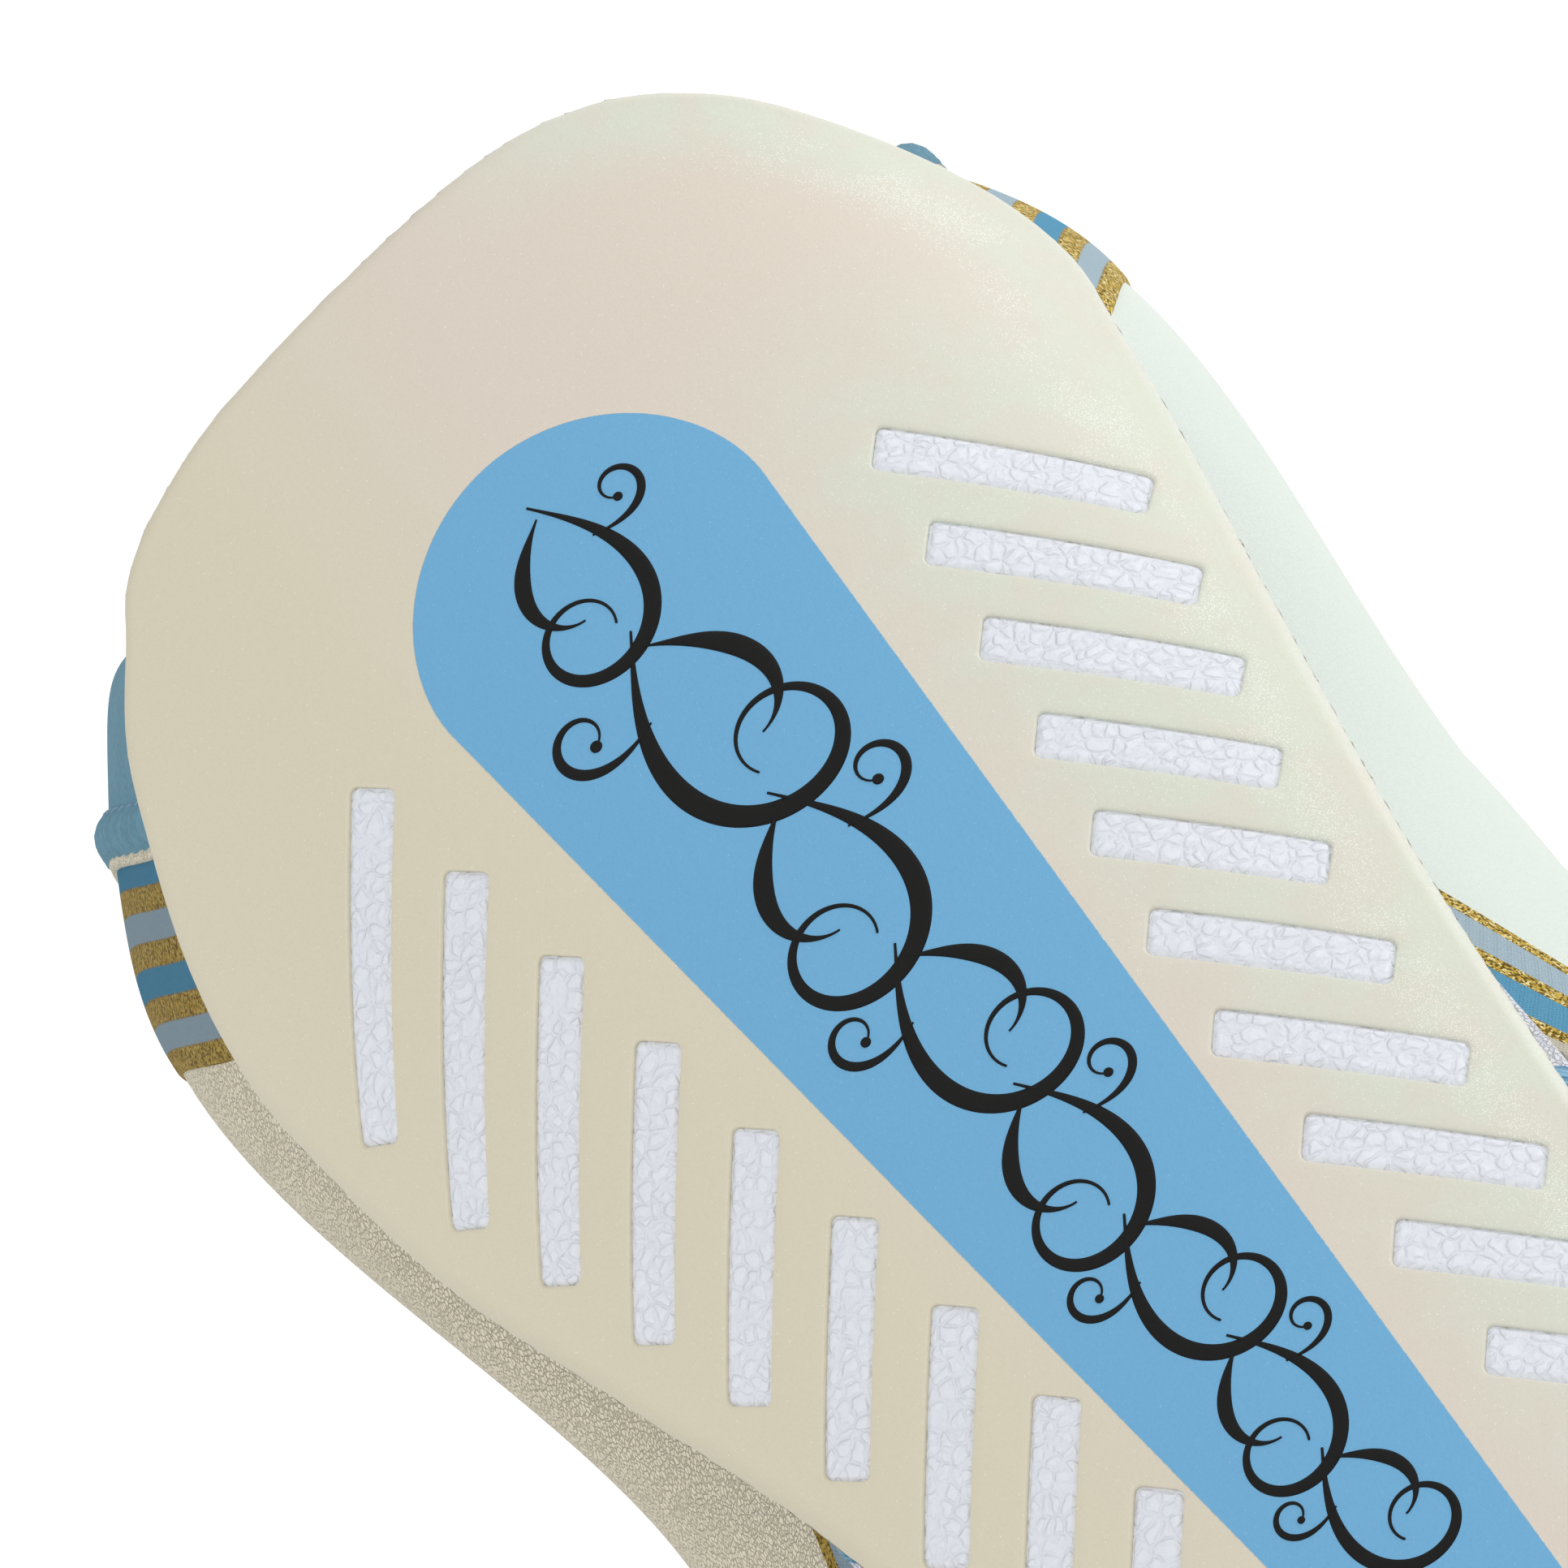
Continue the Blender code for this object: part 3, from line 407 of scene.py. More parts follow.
# Inside of the boot: fibre board, toe puff and heel counter stay as they are
# cut; a foam foot bed with a knit cover lies on the board.
board = Finish("fibre_board", "board", {})
board.paint(board.mix(board.noise(500, 4), "8E7350", "B39A72")).rough(0.8 + 0.1 * board.noise(900))
board.emboss(board.noise(1600, 4, 0.7), 0.0001)
for hidden in ("insole_board", "toe_puff", "heel_counter"):
    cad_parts[hidden].data.materials.clear()
    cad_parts[hidden].data.materials.append(board.material)

bed_knit = Finish("foot_bed_knit", "blue_fabric", {"Sheen Weight": 0.3})
bx, by, _ = bed_knit.axes(bed_knit.place)
loops = (bx * 4200).of("SINE") * (by * 4200 + (bx * 2100).of("SINE")).of("SINE")
bed_knit.paint(bed_knit.mix(loops.step(-0.6, 0.8), "3F7DA0", "69A9CB")).rough(0.75 + 0.1 * loops)
bed_knit.emboss(loops, 0.00015)
bed_low, bed_high, bed_inset, bed_radius = 0.0175, 0.021, 0.0064, 0.0012
bed_top, bed_under = sole_layer(bed_low, bed_high, bed_inset, bed_radius)
cup = np.clip(np.abs(bed_top[..., 1]) / 0.03, 0, 1) ** 4 * ease((-bed_top[..., 0] - 0.02) / 0.05)
bed_top[..., 2] += 0.0012 * cup
bed = piece("foot_bed", wall(bed_top, bed_under), bed_knit)
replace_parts(bed, "sockliner")

# Upper: cream drum-softened leather lasted over the foot form; a vamp in front
# and a quarter on each side, butted and stitched. Its outer face is one surface:
# theta = 0 at the toe and pi at the heel, v = 0 at the sole edge and 1 at the collar rim.
upper_thickness = 0.0014
throat_half = 0.015
throat_v = 0.54


def lattice(count_f, size_f, count_g, size_g, radius):
    """Shares f and g over a sheet, close together at its round edges, and how far the edges drop."""
    f = stations(count_f, size_f, radius)[:, None]
    g = stations(count_g, size_g, radius)[None, :]
    drop = np.maximum(fall(f, size_f, radius), fall(g, size_g, radius))
    return *np.broadcast_arrays(f, g), drop


def unit(vectors):
    """The vectors brought to length 1."""
    return vectors / np.linalg.norm(vectors, axis=-1, keepdims=True)


def surface(theta, v):
    """Cubic from the sole edge to the collar oval, puffed at the heel and over the ankle bones."""
    c, s = np.cos(theta), np.sin(theta)
    x0, y0 = sole_edge(theta)
    x1 = -0.079 + 0.057 * c
    y1 = 0.02625 * np.sign(s) * np.abs(s) ** 0.85
    z0 = sole_height(x0)
    z1 = through(c, [-1, -0.5, 0, 0.35, 0.7, 1], [0.084, 0.08398, 0.1026, 0.111726, 0.120852, 0.126])
    at = [-1, 0, 0.4, 0.75, 1]
    low = through(c, at, [0.46, 0.55, 0.42, 0.32, 0.29]) * (z1 - z0)
    top = through(c, at, [0.31, 0.30, 0.40, 0.47, 0.48]) * (z1 - z0)
    reach = through(c, at, [0.60, 0.454, 0.53, 0.52, 0.52])
    k0, k1, k2, k3 = (1 - v) ** 3, 3 * v * (1 - v) ** 2, 3 * v * v * (1 - v), v**3
    b = -0.03 * k1 + reach * k2 + k3
    z = k0 * z0 + k1 * (z0 + low) + k2 * (z1 - top) + k3 * z1
    power = through(c, [-1, -0.3, 0.15, 0.5, 0.8, 1], [1, 1, 2.79, 2.49, 1.55, 1.6])
    by = 1 - np.maximum(1 - b, 0) ** power
    puff = 0.002 * np.sin(np.pi * np.clip(2 * v, 0, 1)) * (0.2 + 0.8 * np.clip(-c, 0, 1))
    ankle = 0.0101 * (1 - 0.079 * np.sign(s)) * np.exp(-(((v - 0.791) / 0.163) ** 2))
    ankle = ankle * s * s * ease((0.88 - c) / 0.53)
    way = np.sign(s) * np.abs(s) ** 0.7
    norm = (puff + ankle) / np.sqrt(c * c + way**2)
    return np.stack([(1 - b) * x0 + b * x1 + norm * c, (1 - by) * y0 + by * y1 + norm * way, z], -1)


def skin(theta, v, depth=0.0):
    """A point at a depth inside the outer face, along the face's normal (negative: outside)."""
    theta, v, depth = np.broadcast_arrays(theta, v, depth)
    step = 1e-3
    around = surface(theta + step, v) - surface(theta - step, v)
    up = surface(theta, np.minimum(v + step, 1)) - surface(theta, np.maximum(v - step, 0))
    return surface(theta, v) - depth[..., None] * unit(np.cross(around, up))


def theta_at(y, v):
    """The front meridian that crosses height v at the width y, by halving."""
    y, v = np.broadcast_arrays(np.asarray(y, float), np.asarray(v, float))
    low = np.full(y.shape, -0.5 * np.pi)
    top = np.full(y.shape, 0.5 * np.pi)
    for _ in range(24):
        mid = (low + top) / 2
        less = surface(mid, v)[..., 1] < y
        low = np.where(less, mid, low)
        top = np.where(less, top, mid)
    return (low + top) / 2


ring_theta = np.linspace(0, 2 * np.pi, 721)
ring_v = np.linspace(1, 0, 161)
ring_steps = np.diff(surface(ring_theta[:, None], ring_v[None, :]), axis=1)
ring_run = np.pad(np.linalg.norm(ring_steps, axis=-1).cumsum(axis=1), ((0, 0), (1, 0)))


def v_below(theta, drop):
    """The height v that lies the length drop below the collar rim, read from a table of lengths."""
    theta, drop = np.broadcast_arrays(np.asarray(theta, float), np.asarray(drop, float))
    place = (theta.ravel() % (2 * np.pi)) / (2 * np.pi) * (len(ring_theta) - 1)
    i = np.minimum(place.astype(int), len(ring_theta) - 2)
    run = ring_run[i] + (place - i)[:, None] * (ring_run[i + 1] - ring_run[i])
    k = np.clip((run < drop.ravel()[:, None]).sum(1) - 1, 0, len(ring_v) - 2)
    row = np.arange(len(k))
    share = (drop.ravel() - run[row, k]) / (run[row, k + 1] - run[row, k])
    return (ring_v[k] + np.clip(share, 0, 1) * (ring_v[k + 1] - ring_v[k])).reshape(theta.shape)


edge_v = np.linspace(0, 1, 201)
edge_throat = {side: np.abs(theta_at(side * throat_half, np.maximum(edge_v, throat_v))) for side in (-1, 1)}


def front_edge(v, side):
    """Front edge of a quarter: the vamp seam below, bending into the throat edge above."""
    throat = np.interp(v, edge_v, edge_throat[side])
    return throat + (1.08 - throat) * (1 - ease((v - 0.06) / (throat_v - 0.06)))


def leather(name, slot, light, dark, crease, depth):
    """Fine-grained leather: a net of small creases between soft pebbles, a little darker in the creases,
    partly the grain's own tone and partly painted shade.
    """
    hide = Finish(name, slot, {"Coat Weight": 0.06, "Coat Roughness": 0.4})
    spot = hide.bent(1500, 0.0005)
    net = 1 - hide.cells(2700, "DISTANCE_TO_EDGE", spot).step(0.0, 0.15)
    fine = hide.noise(5200, 3, 0.6)
    tone = hide.mix(hide.noise(45, 3), dark, light)
    # Crease colour on the net: partly grain tone, partly painted shade in the creases.
    hide.paint(hide.mix(net * 0.65, tone, crease))
    hide.rough(0.56 + 0.12 * fine)
    hide.emboss(hide.noise(240, 2), 1.2 * depth)
    hide.emboss(fine * 0.4 - net, depth)
    return hide


cream_hide = leather("cream_leather", "cream_leather", "F0E7CE", "E6DDC4", "A69D82", 0.00009)
# The medial quarter's leather: a paler, near-flat copy of the cream leather, painted light where the inner
# lamp falls on that side.
painted_lit_hide = leather("painted_lit_pale_leather", "white_leather", "E3ECE4", "DDE7DE", "D9E3DA", 0.000008)


def flex(theta, v):
    """Soft creases where the toes bend."""
    bend = np.exp(-(((v - 0.36 - 0.05 * np.cos(2 * theta)) / 0.055) ** 2)) * np.cos(theta) ** 2
    return 0.00022 * bend * np.sin(150 * v + 3 * np.sin(2 * theta))


def panel(theta, v, top, thick, drop):
    """A closed sheet of the upper: outer face at depth top, edges dropped, thick from face to back."""
    theta, v = np.broadcast_arrays(theta, v)
    return wall(skin(theta, v, top + drop), skin(theta, v, np.broadcast_to(top + thick, drop.shape)))


edge_radius = 0.0006
seam_gap = 0.004
channel_theta = 0.30 + 0.16 * np.arange(4)
channel_depth = 0.00045
vamp_f, vamp_g, vamp_drop = lattice(130, 0.2, 90, 0.16, edge_radius)
vamp_v = throat_v * vamp_g
vamp_side = 2 * vamp_f - 1
vamp_edge = np.where(vamp_side > 0, front_edge(vamp_v, 1), front_edge(vamp_v, -1)) - seam_gap
vamp_theta = vamp_side * vamp_edge
channel = np.zeros(vamp_theta.shape)
for k, centre in enumerate(channel_theta):
    groove = np.exp(-(((np.abs(vamp_theta) - centre) / 0.012) ** 2))
    groove = groove * ease((vamp_v - 0.12) / 0.06) * ease((0.46 - 0.05 * k - vamp_v) / 0.06)
    channel = np.maximum(channel, groove)
vamp_depth = flex(vamp_theta, vamp_v) + channel_depth * channel
vamp = piece("vamp_leather", panel(vamp_theta, vamp_v, vamp_depth, upper_thickness, vamp_drop), cream_hide)
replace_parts(vamp, "vamp")

band_top = 0.0138
band_low = 0.0293
both_sides = ((-1, "lateral"), (1, "medial"))


def quarter(side):
    """Grid of one side of the boot, from its front edge to the heel seam, up to the hooped band."""
    f, g, drop = lattice(150, 0.2, 90, 0.08, edge_radius)
    v = 0.7 * g
    for _ in range(6):
        edge = front_edge(v, side) + seam_gap
        theta = edge + f * (np.pi - seam_gap - edge)
        v = g * v_below(side * theta, band_low - 0.0015)
    return panel(side * theta, v, 0.0, upper_thickness, drop)


# The lateral quarter takes the cream leather, the medial quarter its painted-light copy.
for (side, name), hide in zip(both_sides, (cream_hide, painted_lit_hide)):
    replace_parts(piece(f"{name}_quarter_leather", quarter(side), hide), f"{name}_quarter")

# Stitching: bonded polyester thread, laid in rows along the seams as short
# raised stitches that sink into the leather at each needle hole.
def spun(name, slot, dark, light):
    """Sewing thread: two close tones and a fine twist."""
    thread = Finish(name, slot, {"Sheen Weight": 0.2})
    thread.paint(thread.mix(thread.noise(2600, 2), dark, light)).rough(0.5 + 0.2 * thread.noise(3000))
    return thread.emboss(thread.noise(6000, 2), 0.00008)


def run_along(path):
    """Length along a line of points."""
    return np.concatenate([[0], np.linalg.norm(np.diff(path, axis=0), axis=1).cumsum()])


def stitches(path, out, pitch=0.0027, length=0.0021, width=0.00026):
    """A row of stitches along a path: small bent capsules, half sunk, standing along the out vectors."""
    run = run_along(path)
    at = np.arange(0.5 * pitch, run[-1], pitch)

    def locate(places, lines):
        """Rows of lines at lengths along the path."""
        return np.stack([np.interp(places, run, lines[:, k]) for k in range(3)], -1)

    def part(amount, axis):
        """Every corner's amount along every stitch's own axis."""
        return amount.reshape(1, corners, 1) * axis[:, None, :]

    middle, rise = locate(at, path), locate(at, out)
    along = unit(locate(np.minimum(at + 0.0004, run[-1]), path) - locate(np.maximum(at - 0.0004, 0), path))
    across = unit(np.cross(rise, along))
    rings, sides = 7, 6
    corners = rings * sides
    lie = np.linspace(-1, 1, rings)[:, None]
    turn = np.linspace(0, 2 * np.pi, sides, endpoint=False)[None, :]
    thick = width * np.sqrt(np.maximum(1 - 0.96 * lie**4, 0))
    u = np.broadcast_to(lie * length / 2, (rings, sides))
    w = thick * np.cos(turn)
    h = thick * np.sin(turn) + width * (0.75 - 1.2 * lie**2)
    points = middle[:, None] + part(u, along) + part(w, across) + part(h, rise)
    cap = np.array([[0, 1, 2, 3], [0, 3, 4, 5]])
    far_cap = np.array([[3, 2, 1, 0], [0, 5, 4, 3]]) + corners - sides
    one = np.concatenate([quads(rings, sides, False, True), cap, far_cap])
    cells = one[None] + corners * np.arange(len(at))[:, None, None]
    return points.reshape(-1, 3), cells.reshape(-1, 4)


def row_on_skin(theta, v, depth=0.0, **sizes):
    """A row of stitches along a line of the upper."""
    path = skin(theta, v, depth)
    return stitches(path, unit(skin(theta, v, depth - 0.001) - path), **sizes)


thread = spun("bonded_thread", "white_fabric", "CFC4AC", "EDE6D6")
seam_v = np.linspace(0.05, throat_v - 0.01, 160)
seams = []
for side in (-1, 1):
    for off in (-0.030, 0.026, 0.046):
        seams.append(row_on_skin(side * (front_edge(seam_v, side) + off), seam_v))
    for k, centre in enumerate(channel_theta):
        line_v = np.linspace(0.15, 0.44 - 0.05 * k, 60)
        seams.append(row_on_skin(side * centre, line_v, 0.00035))
throat_row_v = np.full(40, 0.517)
seams.append(row_on_skin(theta_at(np.linspace(-0.0125, 0.0125, 40), throat_row_v), throat_row_v))
piece("upper_stitching", gather(seams), thread)

# Ankle band: woven trim in blue, gold and pale blue hoops, sewn round the top
# of the quarters; the gold is a flat glitter yarn.
gold, sky_blue, pale_blue = "A87C18", "70B4D8", "C2D8E4"
hoops = [(sky_blue, 0.13), (gold, 0.115), (pale_blue, 0.14), (gold, 0.115),
         (sky_blue, 0.14), (gold, 0.115), (pale_blue, 0.13), (gold, 0.115)]


def striped(name, bands):
    """Woven trim: stripes across the pattern's second axis in a twill weave, with glitter in the gold; its
    pale glitter flecks are painted glints, and the outer side has painted shade.
    """
    trim = Finish(name, "hooped_fabric", {"Specular IOR Level": 0.0})
    along, over, _ = trim.axes(trim.pattern)
    yarn = (along * 21000).of("SINE") * (over * 260 + (along * 10500).of("SINE")).of("SINE")
    wave = over + 0.006 * trim.noise(900, 2) - 0.003
    edges = np.cumsum([share for _, share in bands])
    edges = edges / edges[-1]
    colour, gilded = bands[0][0], float(bands[0][0] == gold) + 0 * wave
    for (code, _), edge in zip(bands[1:], edges[:-1]):
        here = wave.step(float(edge) - 0.008, float(edge) + 0.008)
        colour = trim.mix(here, colour, code)
        gilded = gilded + here * (float(code == gold) - gilded)
    # Painted shade: the trim darkens towards the outer side, away from the inner lamp.
    shaded = 1 - trim.axes(trim.place)[1].step(-0.03, 0.02)
    flake = trim.axes(trim.cells(6500, "F1", None, "Color"))[0]
    tinsel = trim.mix(flake.step(0.15, 0.6), "6F5719", "DCBA55")
    # Painted glints: pale flecks in the gold glitter, fewer where the shade is painted.
    tinsel = trim.mix(flake.step(0.7, 0.92) * (1 - 0.6 * shaded), tinsel, "FFF0B0")
    colour = trim.mix(yarn.step(-0.9, 0.6) * 0.16, colour, (0.10, 0.14, 0.18, 1))
    colour = trim.mix(gilded, colour, tinsel)
    # The painted shade darkens the gold, then the blues.
    colour = trim.mix(shaded * gilded * 0.45, colour, "4C3803")
    trim.paint(trim.mix(shaded * (1 - gilded) * 0.4, colour, "2A4358"))
    trim.feed(trim.shader.inputs["Metallic"], gilded * 0.25)
    trim.rough(0.58 - 0.22 * gilded + 0.1 * flake * gilded)
    trim.emboss(yarn, 0.00006)
    trim.emboss(flake * gilded, 0.00005)
    return trim


hooped = striped("hooped_trim", hoops)


def hoop_strip(first, last, half, rows, columns):
    """A strip round the heel, open at the throat, between two lengths below the rim."""
    f = stations(columns, 0.3, 0.0005)[:, None]
    g = stations(rows, last - first, 0.0004)[None, :]
    f, g = np.broadcast_arrays(f, g)
    drop = first + g * (last - first)
    theta = 0.4 + f * (2 * np.pi - 0.8)
    for _ in range(5):
        start = theta_at(half, v_below(theta[:1], drop[:1]))
        end = 2 * np.pi + theta_at(-half, v_below(theta[-1:], drop[-1:]))
        theta = start + f * (end - start)
    return theta, v_below(theta, drop), f, g


band_theta, band_v, band_f, band_g = hoop_strip(band_top, band_low, throat_half, 26, 300)
band_thick, band_girth, band_radius = 0.0016, 0.3, 0.0004
inner_swell = 0.0010 * np.exp(-(((band_theta - 1.0) / 0.5) ** 2))
band_puff = -0.0002 - (0.0003 + inner_swell) * np.sin(np.pi * band_g) ** 0.8
band_drop = np.maximum(fall(band_f, band_girth, band_radius), fall(band_g, 0.015, band_radius))
band_solid = panel(band_theta, band_v, band_puff, band_thick, band_drop)
band = piece("hooped_ankle_band", band_solid, hooped, uv=np.stack([band_f * band_girth, band_g], -1))
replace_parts(band, "ankle_band")

# Collar hem: a rolled bead of the collar cloth, drawn tight by its stitches so
# that it puckers, with a thin cream piping under it.
collar_cloth = Finish("collar_cloth", "blue_fabric", {"Sheen Weight": 0.04, "Specular IOR Level": 0.2})
velvet = collar_cloth.noise(2600, 3, 0.6)
collar_tone = collar_cloth.mix(collar_cloth.noise(150, 3), "4D7C90", "5E90A5")
collar_cloth.paint(collar_cloth.mix(velvet.step(0.35, 0.7) * 0.35, collar_tone, "7FAEC0"))
collar_cloth.rough(0.7 + 0.15 * velvet)
collar_cloth.emboss(velvet, 0.00005)
collar_cloth.emboss(collar_cloth.noise(350, 2), 0.00008)

around = np.linspace(0, 2 * np.pi, 720, endpoint=False)


def rod(path, radius, sides, closed=False):
    """A round bar along a path: a circle square to the path at each point, whose radius may change."""
    if closed:
        way = np.roll(path, -1, 0) - np.roll(path, 1, 0)
    else:
        way = np.gradient(path, axis=0)
    way = unit(way)
    level = unit(np.cross(way, [0, 0, 1.0]))
    rise = np.cross(level, way)
    turn = 2 * np.pi * np.arange(sides)[None, :, None] / sides
    size = np.broadcast_to(np.asarray(radius, float).reshape(-1, 1, 1), (len(path), 1, 1))
    ring = level[:, None] * np.cos(turn) + rise[:, None] * np.sin(turn)
    return (path[:, None] + size * ring).reshape(-1, 3), quads(len(path), sides, closed, True)


hem_drop, hem_radius, hem_pitch = 0.0119, 0.0017, 0.0034
piping_drop, piping_radius = 0.0136, 0.00052
hem_row_drop = 0.0103
hem_path = skin(around, v_below(around, hem_drop), 0.0006)
hem_run = run_along(hem_path)
pucker = np.sin(2 * np.pi * np.round(hem_run[-1] / hem_pitch) * hem_run / (hem_run[-1] + 0.0004))
hem_roll = rod(hem_path, hem_radius * (1 + 0.045 * pucker), 16, closed=True)
hem = piece("collar_hem_roll", hem_roll, collar_cloth)
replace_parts(hem, "collar_hem")
piping_path = skin(around, v_below(around, piping_drop), -0.0001)
piece("cream_piping", rod(piping_path, piping_radius, 10, closed=True), cream_hide)
hem_line = v_below(around, hem_row_drop)
hem_row = row_on_skin(around, hem_line, 0.0002, pitch=hem_pitch, length=0.0024, width=0.00034)
piece("hem_stitching", hem_row, spun("blue_thread", "blue_fabric", "477A97", "6BA3C2"))

# Collar: a foam-filled ring of stretch cloth round the ankle mouth, fullest in
# the middle and gathered where it is sewn to the hem.
collar_thick = 0.0044
collar_q = np.linspace(0, 1, 26)[None, :]
collar_low = v_below(around, 0.0105)[:, None]
collar_v = collar_low + (1 - collar_low) * np.sin(0.5 * np.pi * collar_q)
collar_round = 0.0021 * (1 - np.cos(0.5 * np.pi * collar_q**3))
gathers = np.sin(102 * around)[:, None] * np.exp(-collar_q / 0.25)
collar_pad = 0.0003 * np.sin(np.pi * np.clip(collar_q * 1.05, 0, 1)) ** 0.8 + 0.00003 * gathers
collar_lean = 0.0047 * collar_q
collar_grid = np.broadcast_arrays(around[:, None], collar_v)
collar_outer = skin(*collar_grid, collar_lean + collar_round - collar_pad)
collar_inner = skin(*collar_grid, collar_lean + collar_thick - collar_round + collar_pad)
collar = piece("collar_padded", wall(collar_outer, collar_inner, True), collar_cloth)
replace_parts(collar, "collar")

# Lining: soft spacer mesh inside the upper, its small holes in offset rows; it is
# sewn in under the collar and runs down to the sole.
mesh_cloth = Finish("lining_mesh", "pale_fabric", {"Sheen Weight": 0.2})
lu, lv, _ = mesh_cloth.axes(mesh_cloth.pattern)
eyelet = (lu * 3600).of("SINE") * (lv * 3600).of("SINE")
mesh_cloth.paint(mesh_cloth.mix(eyelet.of("ABSOLUTE").step(0.1, 0.7), "6C93A8", "A9C9DA"))
mesh_cloth.rough(0.8 + 0.05 * eyelet).emboss(eyelet.of("ABSOLUTE"), 0.0003)
lining_outer, lining_inner, lining_low, lining_turn = 0.0036, 0.0044, 0.02, 0.06
lining_g = np.linspace(0, 1, 60)[None, :]
lining_v = lining_low + (v_below(around, 0.0125)[:, None] - lining_low) * lining_g
lining_grid = np.broadcast_arrays(around[:, None], lining_v)
lining_uv = np.stack(np.broadcast_arrays(around[:, None] * lining_turn, 0.1 * lining_g), -1)
lining_solid = wall(skin(*lining_grid, lining_outer), skin(*lining_grid, lining_inner), True)
lining = piece("spacer_mesh_lining", lining_solid, mesh_cloth, uv=lining_uv, turn=2 * np.pi * lining_turn)
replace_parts(lining, "lining")

# Heel cup and toe rand: pearl nylon mouldings cemented over the leather at the
# back and round the toe.
cup_size, cup_radius, cup_out, cup_thick = 0.06, 0.0007, -0.0020, 0.0016
rand_out, rand_thick = -0.0016, 0.0012
cup_f, cup_g, _ = lattice(60, 0.08, 70, cup_size, cup_radius)
cup_side = 2 * cup_f - 1
cup_theta = np.pi + cup_side * 0.62 * (1 - 0.8 * ease(cup_g / 0.75))
cup_rib = np.exp(-(((cup_side**2 * 3 - cup_g * 2) % 0.5 - 0.25) / 0.06) ** 2) * ease((0.9 - cup_g) / 0.2)
cup_drop = np.maximum(fall(cup_f, cup_size, cup_radius), fall(cup_g, cup_size, cup_radius))
cup_solid = panel(cup_theta, 0.74 * cup_g, cup_out + 0.00035 * cup_rib, cup_thick, cup_drop)
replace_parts(piece("heel_cup_moulded", cup_solid, nylon), "heel_cup")
rand_f, rand_g, rand_drop = lattice(120, 0.16, 20, 0.014, edge_radius)
rand_side = 2 * rand_f - 1
rand_v = 0.11 * rand_g * (1 - 0.6 * rand_side**2)
rand_ridge = 0.00025 * np.cos(rand_side * 60) ** 8 * ease(rand_g / 0.3) * ease((1 - rand_g) / 0.3)
rand_solid = panel(0.92 * rand_side, rand_v, rand_out + rand_ridge, rand_thick, rand_drop)
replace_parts(piece("toe_rand_moulded", rand_solid, nylon), "toe_rand")

# Saddle bands: the same woven trim in gold and blue lines, sewn down each side
# of the midfoot.
lines = [("E6DECB", 0.10), (gold, 0.10), (sky_blue, 0.27), (gold, 0.13), (pale_blue, 0.27), (gold, 0.13)]
lined = striped("saddle_trim", lines)
saddle_width, saddle_length, saddle_radius = 0.016, 0.08, 0.0003
saddle_out, saddle_thick = -0.0006, 0.0004
saddle_f = stations(30, saddle_width, saddle_radius)[:, None]
saddle_g = stations(90, saddle_length, 0.0004)[None, :]
saddle_f, saddle_g = np.broadcast_arrays(saddle_f, saddle_g)
saddle_ends = fall(saddle_g, saddle_length, saddle_radius)
saddle_drop = np.maximum(fall(saddle_f, saddle_width, saddle_radius), saddle_ends)
saddle_uv = np.stack([saddle_g * saddle_length, saddle_f], -1)


def saddle(side):
    """A trim band down one side, as wide everywhere, swept forward to the throat."""
    v = 0.03 + 0.69 * saddle_g
    mid = 1.08 - 0.41 * (v / 0.69) ** 2.3
    width = np.linalg.norm(surface(side * (mid + 0.01), v) - surface(side * (mid - 0.01), v), axis=-1) / 0.02
    theta = side * (mid + (0.7 * saddle_f - 0.5) * saddle_width / width)
    return panel(theta, v, saddle_out, saddle_thick, saddle_drop)


for side, name in both_sides:
    trim = piece(f"{name}_saddle_trim", saddle(side), lined, uv=saddle_uv)
    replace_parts(trim, f"{name}_saddle_band")

# Tongue: foam under spacer mesh, quilted across; its toe end is sewn under the
# vamp, and it fills the throat under the lace.
tongue_cloth = Finish("tongue_mesh", "pale_fabric", {"Sheen Weight": 0.25})
tu, tv, _ = tongue_cloth.axes(tongue_cloth.pattern)
hexes = (tu * 2600).of("SINE") + (tu * 1300 + tv * 2250).of("SINE") + (tu * 1300 - tv * 2250).of("SINE")
tongue_cloth.paint(tongue_cloth.mix(hexes.step(-1.2, 1.6), "A9A08A", "E2DAC6")).rough(0.78 + 0.04 * hexes)
tongue_cloth.emboss(hexes, 0.00025)
tongue_half, tongue_length, tongue_low, tongue_back = 0.021, 0.06, 0.51, 0.0033
tongue_f, tongue_g, _ = lattice(44, 2 * tongue_half, 70, tongue_length, edge_radius)
tongue_top = float(v_below(np.array(0.0), band_top)) - 0.004
tongue_v = tongue_low + (tongue_top - tongue_low) * tongue_g
tongue_y = (2 * tongue_f - 1) * tongue_half
tongue_rise = ease((tongue_v - 0.544) / 0.03) * ease((0.0140 - np.abs(tongue_y)) / 0.006)
quilt = 0.0005 * tongue_rise * np.abs(np.sin(9 * np.pi * tongue_g)) ** 0.6
tongue_out = 0.0022 - tongue_rise * 0.0027 - quilt
tongue_theta = theta_at(tongue_y, tongue_v)
tongue_solid = wall(skin(tongue_theta, tongue_v, tongue_out), skin(tongue_theta, tongue_v, tongue_back))
tongue_uv = np.stack([tongue_y, tongue_length * tongue_g], -1)
tongue = piece("tongue_quilted", tongue_solid, tongue_cloth, uv=tongue_uv)
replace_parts(tongue, "tongue")

